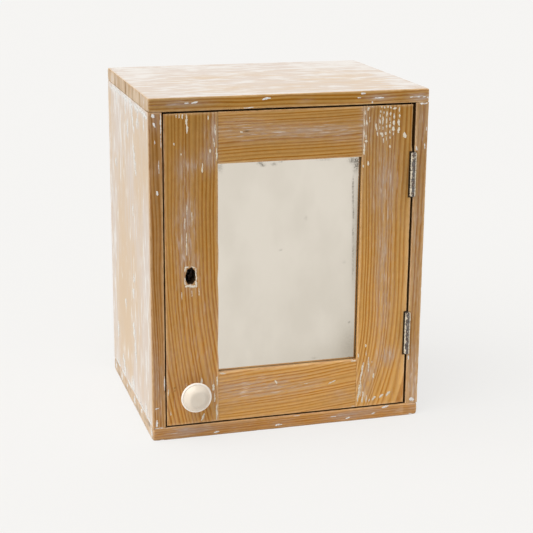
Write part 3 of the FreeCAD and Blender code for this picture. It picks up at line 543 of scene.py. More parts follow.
class Wires:
    """Short ways of adding and joining nodes in one tree."""

    def __init__(self, tree):
        self.tree = tree

    def feed(self, socket, value):
        if isinstance(value, Wire):
            self.tree.links.new(value.socket, socket)
        else:
            socket.default_value = (*value[:3], 1) if socket.type == "RGBA" else value

    def node(self, kind, inputs=None, **settings):
        node = self.tree.nodes.new(kind)
        for name, value in settings.items():
            setattr(node, name, value)
        for name, value in (inputs or {}).items():
            self.feed(node.inputs[name], value)
        return node

    def out(self, kind, inputs=None, output=0, **settings):
        """One output of a new node."""
        return Wire(self, self.node(kind, inputs, **settings).outputs[output])

    def outs(self, kind, inputs=None, **settings):
        """All outputs of a new node by name."""
        return {socket.name: Wire(self, socket) for socket in self.node(kind, inputs, **settings).outputs}

    def math(self, operation, a, b=0.0, clamp=False):
        return self.out("ShaderNodeMath", {0: a, 1: b}, operation=operation, use_clamp=clamp)

    def vector(self, operation, a, b):
        return self.out("ShaderNodeVectorMath", {0: a, 1: b}, operation=operation)

    def xyz(self, *parts):
        return self.out("ShaderNodeCombineXYZ", dict(enumerate(parts)))

    def raised(self, geometry, height):
        """Geometry that is moved along Z."""
        names = {"Geometry": geometry, "Translation": self.xyz(0.0, 0.0, height)}
        return self.out("GeometryNodeTransform", names)

    def mix(self, factor, a, b, blend="MIX"):
        return self.out("ShaderNodeMix", {0: factor, 6: a, 7: b}, 2, data_type="RGBA", blend_type=blend)

    def span(self, value, low, high, to_low=0.0, to_high=1.0):
        """A smooth step from one value to another."""
        names = {"Value": value, "From Min": low, "From Max": high, "To Min": to_low, "To Max": to_high}
        return self.out("ShaderNodeMapRange", names, interpolation_type="SMOOTHSTEP")

    def noise(self, vector, stretch, detail=2.0, roughness=0.5, output="Fac"):
        """Noise on a vector that is stretched first."""
        scaled = self.vector("MULTIPLY", vector, stretch)
        names = {"Vector": scaled, "Scale": 1.0, "Detail": detail, "Roughness": roughness}
        return self.out("ShaderNodeTexNoise", names, output)

    def mark(self, name):
        """A value that mark() kept on the piece."""
        return self.out("ShaderNodeAttribute", None, "Fac", attribute_name=name)

    def bump(self, height, strength, distance):
        return self.out("ShaderNodeBump", {"Height": height, "Strength": strength, "Distance": distance})

    def group(self, builder, inputs):
        """The outputs of a node group, which is built the first time it is asked for."""
        name = builder.__name__.replace("_", " ").capitalize()
        tree = bpy.data.node_groups.get(name) or builder(name)
        return self.outs("ShaderNodeGroup", inputs, node_tree=tree)


def shader_group(name, inputs, outputs):
    """An empty shader node group; an input's kind follows from its default."""
    group = bpy.data.node_groups.new(name, "ShaderNodeTree")
    for label, default in inputs.items():
        kind = "Vector" if default is None else "Float" if isinstance(default, float) else "Color"
        socket = group.interface.new_socket(label, in_out="INPUT", socket_type="NodeSocket" + kind)
        if default is not None:
            socket.default_value = default if kind == "Float" else (*default, 1)
    for label in outputs:
        kind = "Color" if label == "Color" else "Float"
        group.interface.new_socket(label, in_out="OUTPUT", socket_type="NodeSocket" + kind)
    wires = Wires(group)
    return group, wires, wires.outs("NodeGroupInput")


def pine_figure(name):
    """Year rings about a line along Z, with fibres: the grain of sawn pine, in millimetres."""
    group, w, given = shader_group(name, {
        "Vector": None, "Ring Width": 5.0, "Bow": 0.0, "Bow Height": 0.0, "Warp": 12.0, "Contrast": 1.0,
        "Fade": 0.0, "Ends": 0.0, "Earlywood": (0.5, 0.3, 0.1), "Latewood": (0.3, 0.1, 0.03)},
        ("Color", "Late", "Fibre"))
    x, y, z = w.outs("ShaderNodeSeparateXYZ", {0: given["Vector"]}).values()
    below = w.math("MAXIMUM", given["Bow Height"] - z, 0.0)
    bent = w.xyz(x + given["Bow"] * (below * below), y, z)
    drift = w.vector("SUBTRACT", w.noise(bent, (0.017, 0.017, 0.004), output="Color"), (0.5, 0.5, 0.5))
    drift = w.out("ShaderNodeVectorMath", {0: drift, "Scale": given["Warp"]}, operation="SCALE")
    flat = w.vector("MULTIPLY", w.vector("ADD", bent, drift), (1, 1, 0))
    reach = w.out("ShaderNodeVectorMath", {0: flat}, "Value", operation="LENGTH")
    ring = w.math("DIVIDE", reach, given["Ring Width"])
    uneven = w.out("ShaderNodeTexNoise", {"W": ring * 0.3, "Scale": 1.0, "Detail": 1.0}, "Fac",
                   noise_dimensions="1D")
    ring = ring + uneven * 1.5
    profile = w.node("ShaderNodeValToRGB", {"Fac": w.math("FRACT", ring)})
    stops = profile.color_ramp.elements
    for stop in stops:
        stop.color = (0.35, 0.35, 0.35, 1)
    for place, level in ((0.1, 0.06), (0.3, 0.03), (0.5, 0.28), (0.65, 0.7), (0.78, 1.0), (0.92, 0.86)):
        stops.new(place).color = (level, level, level, 1)
    strength = w.out("ShaderNodeTexWhiteNoise", {"W": w.math("FLOOR", ring)}, "Value", noise_dimensions="1D")
    fibre = w.noise(bent, (1.3, 1.3, 0.025), 4.0, 0.65)
    streak = w.noise(bent, (0.32, 0.32, 0.012), 3.0, 0.6)
    tone = w.noise(bent, (0.02, 0.02, 0.006))
    mottle = w.noise(bent, (0.2, 0.2, 0.16), 2.0, 0.6)
    late = Wire(w, profile.outputs["Color"]) * w.span(strength, 0.0, 1.0, 0.62, 1.25)
    late = late * w.span(streak, 0.25, 0.6, 0.75, 1.2) * w.span(fibre, 0.34, 0.62, 0.78, 1.2)
    late = w.math("MULTIPLY", late * w.span(tone, 0.36, 0.6, 0.85, 1.15), given["Contrast"], clamp=True)
    shade = w.span(fibre * 0.35 + tone * 0.4 + streak * 0.5 + mottle * 0.35, 0.45, 1.15, 0.8, 1.16)
    # Painted shade: the wood is made darker or lighter along the grain by the slope
    shade = shade * (given["Fade"] * z + 1.0)
    pores = w.noise(given["Vector"], (0.03, 0.14, 0.2), 4.0, 0.7)
    shade = shade * (1.0 - given["Ends"] * w.span(pores, 0.35, 0.65, 0.5, 0.0))
    colour = w.mix(late, given["Earlywood"], given["Latewood"])
    colour = w.mix(1.0, colour, w.xyz(shade, shade, shade), "MULTIPLY")
    w.node("NodeGroupOutput", {"Color": colour, "Late": late, "Fibre": fibre})
    return group


def old_paint(name):
    """What is left of white paint: a streaky wash, thin film in the soft wood, bare edges with painted
    highlights.
    """
    group, w, given = shader_group(name, {
        "Color": (0.5, 0.3, 0.1), "Vector": None, "Late": 0.0, "Wash": 0.0, "Film": 0.0, "Arris": 0.0,
        "Grime": 0.0, "Ends": 0.0, "Wash Color": (0.6, 0.53, 0.48), "Thin Color": (0.6, 0.47, 0.34),
        "Streak Color": (0.7, 0.67, 0.65), "Film Color": (0.6, 0.5, 0.45), "Grime Color": (0.05, 0.03, 0.015),
        "Worn Color": (0.74, 0.58, 0.40)}, ("Color",))
    vector, late, ends, arris = (given[label] for label in ("Vector", "Late", "Ends", "Arris"))
    along = w.noise(vector, (0.14, 0.14, 0.019), 5.0, 0.68)
    sawn = w.noise(vector, (0.02, 0.06, 0.2), 3.0, 0.6)
    patch = w.noise(vector, (0.025, 0.025, 0.009), 3.0, 0.55)
    dab = w.noise(vector, (0.9, 0.9, 0.12), 3.0, 0.6)
    dash = w.noise(vector, (1.0, 1.0, 0.055))
    streak = along + ends * (sawn - along)
    level = given["Wash"] - 0.8
    rubbed = streak * 0.55 + patch * 0.45 + level * 1.1 - late * 0.12
    washed = w.mix(w.span(rubbed, 0.36, 0.62), given["Thin Color"], given["Wash Color"])
    brushed = w.noise(vector, (0.13, 0.13, 0.03), 4.0, 0.62) + level * 0.8
    washed = w.mix(w.span(brushed, 0.54, 0.7), washed, given["Streak Color"])
    cover = (1.0 - ends * w.span(sawn, 0.35, 0.6, 0.3, 0.0)) * w.span(given["Wash"], 0.0, 0.8, 0.0, 0.95)
    wash = w.math("MULTIPLY", cover, 1.0 - arris * 0.85, clamp=True)
    film = given["Film"] * w.span(streak * 0.6 + dab * 0.5, 0.42, 0.68, 0.22, 1.0) * (1.0 - late * 0.2)
    film = w.math("MULTIPLY", film, 0.8, clamp=True)
    dash = w.math("MULTIPLY", w.span(dash, 0.55, 0.7), given["Film"] * 0.46, clamp=True)
    colour = w.mix(wash, given["Color"], washed)
    colour = w.mix(film, colour, given["Film Color"])
    colour = w.mix(dash, colour, given["Streak Color"])
    # Lighter, more golden edges: partly wood worn bare, partly a painted highlight
    worn = w.mix(0.4, w.mix(1.0, colour, (1.3, 1.28, 1.25), "MULTIPLY"), given["Worn Color"])
    colour = w.mix(arris * w.span(dab, 0.35, 0.6, 0.4, 1.0), colour, worn)
    # Dirt, and painted shade in gaps, the keyhole and hollows, darken the colour here
    colour = w.mix(given["Grime"], colour, given["Grime Color"])
    w.node("NodeGroupOutput", {"Color": colour})
    return group


def metal_wear(name):
    """Iron with rust in patches, and old paint where the Paint Amount lets it stay."""
    group, w, given = shader_group(name, {
        "Vector": None, "Metal": (0.2, 0.2, 0.2), "Rust": (0.1, 0.04, 0.02), "Paint": (0.7, 0.65, 0.55),
        "Rust Amount": 0.4, "Paint Amount": 0.0}, ("Color", "Metallic", "Roughness", "Height"))
    blotch = w.noise(given["Vector"], (0.35, 0.35, 0.3), 4.0, 0.6)
    pit = w.noise(given["Vector"], (1.8, 1.8, 1.6), 3.0, 0.6)
    flake = w.noise(given["Vector"], (0.55, 0.55, 0.28), 4.0, 0.7)
    rust = w.span(blotch * 0.7 + pit * 0.3 - (0.75 - given["Rust Amount"] * 0.5), -0.08, 0.1)
    paint = w.span(flake * 0.8 + pit * 0.2 - (0.9 - given["Paint Amount"] * 0.72), -0.015, 0.03)
    dim = w.span(pit, 0.3, 0.7, 0.7, 1.2)
    colour = w.mix(1.0, given["Metal"], w.xyz(dim, dim, dim), "MULTIPLY")
    colour = w.mix(paint, w.mix(rust, colour, given["Rust"]), given["Paint"])
    bare = 1.0 - w.math("MAXIMUM", rust, paint)
    w.node("NodeGroupOutput", {"Color": colour, "Metallic": bare * 0.9, "Height": paint + pit * 0.35,
                               "Roughness": w.span(bare, 0.0, 1.0, 0.75, 0.42)})
    return group


def handling_marks(name):
    """Faint dirt that settles on a pale or shiny surface."""
    group, w, given = shader_group(name, {
        "Color": (0.7, 0.6, 0.5), "Vector": None, "Dirt": (0.3, 0.2, 0.1), "Amount": 0.3}, ("Color", "Mask"))
    cloud = w.noise(given["Vector"], (0.09, 0.09, 0.09), 4.0, 0.6)
    speck = w.noise(given["Vector"], (0.8, 0.8, 0.8), 3.0, 0.6)
    mask = w.span(cloud, 0.4, 0.75) + w.span(speck, 0.62, 0.74, 0.0, 0.8)
    mask = w.math("MULTIPLY", mask, given["Amount"], clamp=True)
    w.node("NodeGroupOutput", {"Color": w.mix(mask, given["Color"], given["Dirt"]), "Mask": mask})
    return group


def new_material(name):
    material = bpy.data.materials.new(name)
    material.use_nodes = True
    material.node_tree.nodes.clear()
    w = Wires(material.node_tree)
    shader = w.node("ShaderNodeBsdfPrincipled")
    w.node("ShaderNodeOutputMaterial", {"Surface": Wire(w, shader.outputs[0])})

    def paint(**inputs):
        """Feeds the shader's inputs; a name's underscore stands for a space."""
        for label, value in inputs.items():
            w.feed(shader.inputs[label.replace("_", " ")], value)

    return material, w, paint


def object_mm(w, turn=(0.0, 0.0, 0.0), shift=(0.0, 0.0, 0.0)):
    """Object coordinates in millimetres, turned and then shifted."""
    coords = w.out("ShaderNodeTexCoord", None, "Object")
    return w.out("ShaderNodeMapping", {"Vector": coords, "Scale": (1 / MM, 1 / MM, 1 / MM), "Location": shift,
                                       "Rotation": [math.radians(angle) for angle in turn]})


def pine_material(name, grain, pith, lean=(0.0, 0.0), bow=(0.0, 0.0), ring=5.0, contrast=1.0,
                  tint_and_shade=(1.0, 1.0, 1.0), raw=0.0, shade_slope=0.0):
    """Pine with its grain along an axis.

    Pith is the place of the tree's heart, and lean turns the grain by a few degrees. Bow says how much the
    grain bends and below which height, ring is a year's width, raw is the way to bare wood, and the last
    setting is painted shade: the change of lightness for each millimetre along the grain, darker towards
    the top on the upright boards. The tints are partly painted light and shade as well.
    """
    pine = bpy.context.scene.pine_cabinet.pine
    material, w, paint = new_material(name)
    turns = {"X": (lean[0], lean[1] - 90.0, 0.0), "Z": (*lean, 0.0), "Y": (lean[0] + 90.0, 0.0, lean[1])}
    vector = object_mm(w, turns[grain], (*pith, 0.0))
    ends = w.mark("ends")

    def wood(colour, share):
        """A tinted wood colour on its way to bare wood."""
        return [a * c * (1 - raw) + b * raw * share for a, b, c in zip(colour, pine.raw_wood, tint_and_shade)]

    figure = w.group(pine_figure, {
        "Vector": vector, "Ring Width": ring, "Bow": bow[0], "Bow Height": bow[1], "Contrast": contrast,
        "Fade": shade_slope, "Ends": ends, "Earlywood": wood(pine.earlywood, 1.0),
        "Latewood": wood(pine.latewood, 0.62)})
    late = figure["Late"]
    painted = w.group(old_paint, {
        "Color": figure["Color"], "Vector": vector, "Late": late, "Ends": ends, "Wash": w.mark("wash"),
        "Film": w.mark("film"), "Arris": w.mark("arris"), "Grime": w.mark("grime"),
        "Wash Color": pine.limewash, "Thin Color": pine.thin_wash, "Streak Color": pine.streak,
        "Film Color": pine.film})
    relief = w.bump(late * 0.6 + figure["Fibre"] * 0.5, 0.35, 0.0003)
    paint(Base_Color=painted["Color"], Roughness=w.span(late, 0.0, 1.0, 0.62, 0.48), Specular_IOR_Level=0.12,
          Normal=relief)
    return material


def metal_material(name, colour, rust=0.4, coated=False):
    """Iron, with the paint that is marked on the piece where it is coated."""
    metal = bpy.context.scene.pine_cabinet.metal
    material, w, paint = new_material(name)
    wear = w.group(metal_wear, {
        "Vector": object_mm(w), "Metal": colour, "Rust": metal.rust, "Paint": metal.paint,
        "Rust Amount": rust, "Paint Amount": w.mark("paint") if coated else 0.0})
    paint(Base_Color=wear["Color"], Metallic=wear["Metallic"], Roughness=wear["Roughness"],
          Normal=w.bump(wear["Height"], 0.5, 0.0003))
    return material


def pale_material(name, colour, dirt, amount, roughness, coat=0.0):
    """A pale, slightly dirty surface: the knob, with painted shade on its face, or the mirror's backing."""
    material, w, paint = new_material(name)
    # Painted shade: the knob's face, set towards the lower right, is made darker
    shaded = [0.85 * a for a in colour]
    pale = [1 - 0.6 * (1 - a) for a in colour]
    shown = w.mix(w.mark("rim"), w.mix(w.mark("shaded_face"), colour, shaded), pale)
    marks = w.group(handling_marks, {"Color": shown, "Vector": object_mm(w), "Dirt": dirt, "Amount": amount})
    dull = w.span(marks["Mask"], 0.0, 0.6, roughness, min(1.0, roughness + 0.25))
    paint(Base_Color=marks["Color"], Roughness=dull, Coat_Weight=coat, Coat_Roughness=0.12,
          Normal=w.bump(marks["Mask"], 0.25, 0.0002))
    return material


def flake_material(name, colour, amount):
    """Old white paint: thick in the middle of a sliver, broken at its edges, where wood shows."""
    material, w, paint = new_material(name)
    vector = object_mm(w)
    dirt = (0.46, 0.36, 0.27)
    marks = w.group(handling_marks, {"Color": colour, "Vector": vector, "Dirt": dirt, "Amount": amount})
    crumb = w.noise(vector, (0.95, 0.95, 0.7), 4.0, 0.65)
    cover = w.mark("thick") * 0.55 + crumb
    paint(Base_Color=marks["Color"], Alpha=w.span(cover, 0.64, 0.98, 0.0, 0.9), Roughness=0.65,
          Normal=w.bump(crumb, 0.3, 0.0002))
    return material


def mirror_material(name):
    """Old silvered glass: a warm mirror under a clear face, blind where the silver has gone, with painted
    reflection.
    """
    glass = bpy.context.scene.pine_cabinet.glass
    material, w, paint = new_material(name)
    vector = object_mm(w)
    grain = w.noise(vector, (0.55, 0.55, 0.45), 4.0, 0.7)
    cloud = w.noise(vector, (0.02, 0.02, 0.012), 3.0)
    speck = w.noise(vector, (0.3, 0.3, 0.3), 3.0, 0.65)
    gone = w.math("MULTIPLY", w.mark("tarnish"), w.span(grain, 0.34, 0.62, 0.1, 1.1), clamp=True)
    gone = w.math("MAXIMUM", gone, w.span(speck, 0.735, 0.79, 0.0, 0.4))
    # Painted reflection: the marked places are duller silver, with uneven clouds of it
    dull = w.math("ADD", w.mark("dim"), w.span(cloud, 0.3, 0.7, -0.05, 0.15), clamp=True)
    silver = w.mix(dull, glass.silver, glass.silver_dull_and_shaded)
    paint(Base_Color=w.mix(gone, silver, glass.tarnish), Roughness=w.span(gone, 0.0, 1.0, 0.07, 0.55),
          Metallic=1.0, Coat_Weight=0.6, Coat_Roughness=0.05)
    return material


# Wooden pieces


def spots_at(across, along, spots):
    """The sum of round spots, each given as (across, along, half width, half height, strength)."""
    total = np.zeros(len(across))
    for u, v, half_u, half_v, strength in spots:
        total += strength * np.exp(-((across - u) / half_u) ** 2 - ((along - v) / half_v) ** 2)
    return total


def film_at(points, spots):
    """How much each point has of spots on the front."""
    return spots_at(points[:, X], points[:, Z], spots)


def facing(values):
    """1 where a normal's share along an axis is large, 0 where it is small."""
    return ramp(values, 0.4, 0.4)


def unpainted(points):
    """The paler wood inside, where paint and light never came."""
    x, y, z = points.T
    within = (np.abs(x) < INNER_X + 0.5) & (z > BOARD - 0.5) & (z < HEIGHT - BOARD + 0.5)
    return 0.32 * ramp(y, FRONT + 10.0, 8.0) * within


def gap_and_foot_shade(points):
    """Painted shade in the gap between door and carcass, and a painted contact shadow along the lowest front
    edge.
    """
    x, y, z = points.T
    outside = np.maximum.reduce((DOOR_X[0] - x, x - DOOR_X[1], DOOR_Z[0] - z, z - DOOR_Z[1]))
    depth = y - FRONT
    seen = ramp(depth, 0.8, 0.8) * ramp(depth, 9.0, -3.0)
    foot = 0.5 * ramp(z, 1.6, -1.6) * (depth < 1.5)
    return np.maximum(0.85 * seen * (outside > -0.5) * (outside < 3.2), foot)


def bare_and_lit_edges(points, low, high):
    """How far edges are rubbed bare and where the front is paler from bleaching, all partly painted light."""
    x, y, z = points.T
    to_sides = np.sort(np.minimum(np.abs(points - low), np.abs(high - points)), axis=1)
    above = z > HEIGHT - 3.0
    rubbed = np.select([y < FRONT + 3.0, above & (x > HALF_WIDTH - 3.0), above], [1.0, 0.05, 0.55], 0.12)
    rubbed = rubbed * np.where(x < DOOR_X[1] - 3.0, 0.8, 1.0)
    by_hinges = 0.45 * np.exp(-((x - DOOR_X[1]) / 6.0) ** 2) * (x < DOOR_X[1] + 0.5) * ramp(z, 270.0, -40.0)
    low_ends = np.where(x > 0, 0.4, 0.17) * np.exp(-((z - 35.0) / 38.0) ** 2)
    low_ends *= (np.abs(x) > DOOR_X[1] + 1.5) & (z > BOARD - 0.5)
    bleached_and_lit = (by_hinges + low_ends) * (y < FRONT + 2.0)
    return np.maximum(rubbed * np.exp(-(to_sides[:, 1] / 1.8) ** 2), bleached_and_lit)


def finish_marks(piece, low, high, wash=None, film=(), grime=None):
    """Works out where a board is washed, filmed, bare on its edges, dirty or painted darker as shade."""
    points, normals = corners_of(piece)
    nothing = np.zeros(len(points))
    thin = np.interp(points[:, Z], (0, HEIGHT), (0.16, 0.0))
    on_front = points[:, Y] < FRONT + 2.0
    mark(piece, "arris", bare_and_lit_edges(points, low, high))
    mark(piece, "ends", ramp(np.abs(normals[:, int(np.argmax(high - low))]), 0.5, 0.3))
    mark(piece, "wash", np.maximum(wash(points, normals) if wash else nothing, unpainted(points)))
    mark(piece, "film", (thin + 0.85 * film_at(points, film)) * on_front if film else nothing)
    mark(piece, "grime", np.maximum(grime(points, normals) if grime else nothing, gap_and_foot_shade(points)))


def recesses(low, high):
    """Cutters for the heads of the nails and brads in a board's faces; those in the top are filled over."""
    near, clear = 0.2, 0.15
    shapes = []
    for (_length, _shank, head, height, sink), sites in FASTENERS.values():
        for at, way in sites if sink else ():
            if at[Z] == HEIGHT:
                continue
            inside = all(a - near <= p <= b + near for a, p, b in zip(low, at, high))
            on_face = any(w and min(abs(p - a), abs(p - b)) < near for a, p, b, w in zip(low, at, high, way))
            if inside and on_face:
                start = np.array(at) - np.array(way) * PAST
                shapes.append(peg(head + clear, start, way, PAST + sink + height, 16))
    return shapes


def make_board(node, material, steps, seed, cutters=(), box=None, corner=0.0, wear=1.0, change=None,
               **finish):
    """One pine board that stands for a solid; it fills the solid's box unless another is given."""
    pine = bpy.context.scene.pine_cabinet.pine
    low, high = (np.array(end, float) for end in box or cad_box(node))
    ease, rub = pine.edge_round / MM, pine.edge_wear / MM * wear
    points, faces = worn_block(low, high, steps, ease, rub, seed, corner)
    piece = place_mesh("pine_" + node, (change(points) if change else points, faces))
    heads = recesses(low, high)
    for shape in list(cutters) + ([joined(heads)] if heads else []):
        cut(piece, shape)
    smooth(piece)
    finish_marks(piece, low, high, **finish)
    hand_over(piece, material, node)


def knuckle_reliefs(clear):
    """The round hollows in the wood beside the hinges."""
    reach = HINGE_LENGTH / 2 + 1.1
    return [peg(KNUCKLE_RADIUS + clear, (*HINGE_AXIS, z - reach), UP, 2 * reach) for z in HINGE_Z.values()]


def wall_holes(low=-HALF_WIDTH, high=HALF_WIDTH):
    """Cutters for the wall screws' holes between two places along X."""
    radius = WALL_MOUNT["dims"]["hole_r_mm"]
    inside, length = 90.0, 50.0
    return [peg(radius, (x, inside, z), (0, 1, 0), length) for x, z in WALL_HOLES if low < x < high]


class CABINET_OT_carcass(bpy.types.Operator):
    """Make the four boards of the carcass, washed outside and brown on their front edges"""

    bl_idname = "cabinet.carcass"
    bl_label = "Carcass boards"

    def execute(self, context):
        level, upright = (2.2, 2.2, 1.1), (1.1, 2.2, 2.2)
        reach = INNER_X + REBATE
        rebate = block((-reach, BACK_INNER, BOARD - REBATE), (reach, BACK + PAST, HEIGHT - BOARD + REBATE))
        bolt_low, bolt_high = cad_box("lock_bolt")
        deep, clear = 8.0, 1.5
        pocket = block((-INNER_X - deep, bolt_low[Y] - clear, bolt_low[Z] - clear),
                       (-INNER_X + PAST, bolt_high[Y] + clear, bolt_high[Z] + clear))

        def side_wash(points, normals):
            """White on the outer face, more of it under the top, less low down."""
            x, y, z = points.T
            outer = facing(normals[:, X] * np.sign(x)) * (np.abs(x) > HALF_WIDTH - 2.0)
            return outer * (0.815 + spots_at(y, z, SIDE_WHITE))

        def top_wash(points, normals):
            """Nearly all white above, with whiter bands, and half bare and streaky on the ends."""
            x, y, z = points.T
            face = (0.89 + spots_at(x, y, TOP_WHITE)) * facing(normals[:, Z]) * (z > HEIGHT - 2.0)
            streaks = ripple(points * (0.0, 1.0, 0.3), 16, 17)
            return np.maximum(face, (0.6 + 0.22 * streaks) * facing(np.abs(normals[:, X])))

        def end_wash(points, normals):
            return 0.72 * facing(np.abs(normals[:, X]))

        def corner_dirt(points, normals):
            """The top's front edge is darker towards its left end."""
            return 0.14 * ramp(points[:, X], -60.0, -50.0) * (normals[:, Y] < -0.6)

        def end_dirt(points, normals):
            """Brown spots on the ends of the bottom board."""
            x, y, z = points.T
            return 0.8 * spots_at(y, z, END_SPOTS) * (np.abs(x) > HALF_WIDTH - 1.5)

        # The sides' slopes are painted shade, darker towards the top; the tints are partly painted light and
        # shade
        top = pine_material("pine_top", "X", (438, 30), (0.4, 0.9), ring=2.6, tint_and_shade=(0.79, 0.755, 0.58))
        bottom = pine_material("pine_bottom", "X", (60, 150), (0.2, 0.6), ring=2.6, tint_and_shade=(1.02, 0.88, 0.58),
                               shade_slope=0.0008)
        left = pine_material("pine_side", "Z", (222, 28), (0.7, 0.3), ring=2.4, tint_and_shade=(0.85, 0.785, 0.75),
                             shade_slope=-0.00078)
        right = pine_material("pine_right_side", "Z", (-232, -12), (0.6, -0.4), ring=2.6,
                              tint_and_shade=(1.03, 1.0, 0.97), shade_slope=-0.0008)
        make_board("top_board", top, level, 11, [rebate], corner=1.2, wash=top_wash, film=CARCASS_FILM,
                   grime=corner_dirt)
        make_board("bottom_board", bottom, level, 12, [rebate], corner=2.0, wear=1.3, wash=end_wash,
                   film=CARCASS_FILM, grime=end_dirt)
        make_board("left_side", left, upright, 13, [rebate, pocket], wash=side_wash, film=CARCASS_FILM)
        make_board("right_side", right, upright, 14, [rebate] + knuckle_reliefs(0.5), wash=side_wash,
                   film=CARCASS_FILM)
        return {"FINISHED"}


class CABINET_OT_inside(bpy.types.Operator):
    """Make the back boards, the hanging rail, the shelves, their cleats and the door stops"""

    bl_idname = "cabinet.inside"
    bl_label = "Back, shelves and stops"

    def execute(self, context):
        wood = {"contrast": 0.85, "raw": 0.55}
        upright = pine_material("pine_back", "Z", (-40, -60), (0.5, 1.1), ring=5.0, **wood)
        across = pine_material("pine_shelf", "X", (150, 60), (0.6, 0.5), ring=4.6, **wood)
        deep = pine_material("pine_cleat", "Y", (20, 60), (0.4, 0.4), ring=4.2, **wood)
        gap = 0.5
        for place in range(3):
            node = "back_board_%d" % (place + 1)
            low, high = cad_box(node)
            low[X] = -BACK_REACH + place * BACK_WIDTH
            high[X] = low[X] + BACK_WIDTH - gap
            make_board(node, upright, (2.4, 1.3, 3.0), 21 + place, wall_holes(low[X], high[X]), (low, high))
        make_board("hanging_rail", across, (3.0, 1.8, 2.0), 25, wall_holes())
        for number, node in enumerate(("lower_shelf", "upper_shelf")):
            make_board(node, across, (2.6, 2.6, 1.4), 26 + number)
        for number, place in enumerate(("lower_left", "lower_right", "upper_left", "upper_right")):
            make_board("shelf_cleat_" + place, deep, (1.5, 3.0, 1.5), 30 + number)
        for number, node in enumerate(("door_stop_top", "door_stop_bottom")):
            make_board(node, across, (3.0, 1.4, 1.4), 36 + number)
        return {"FINISHED"}


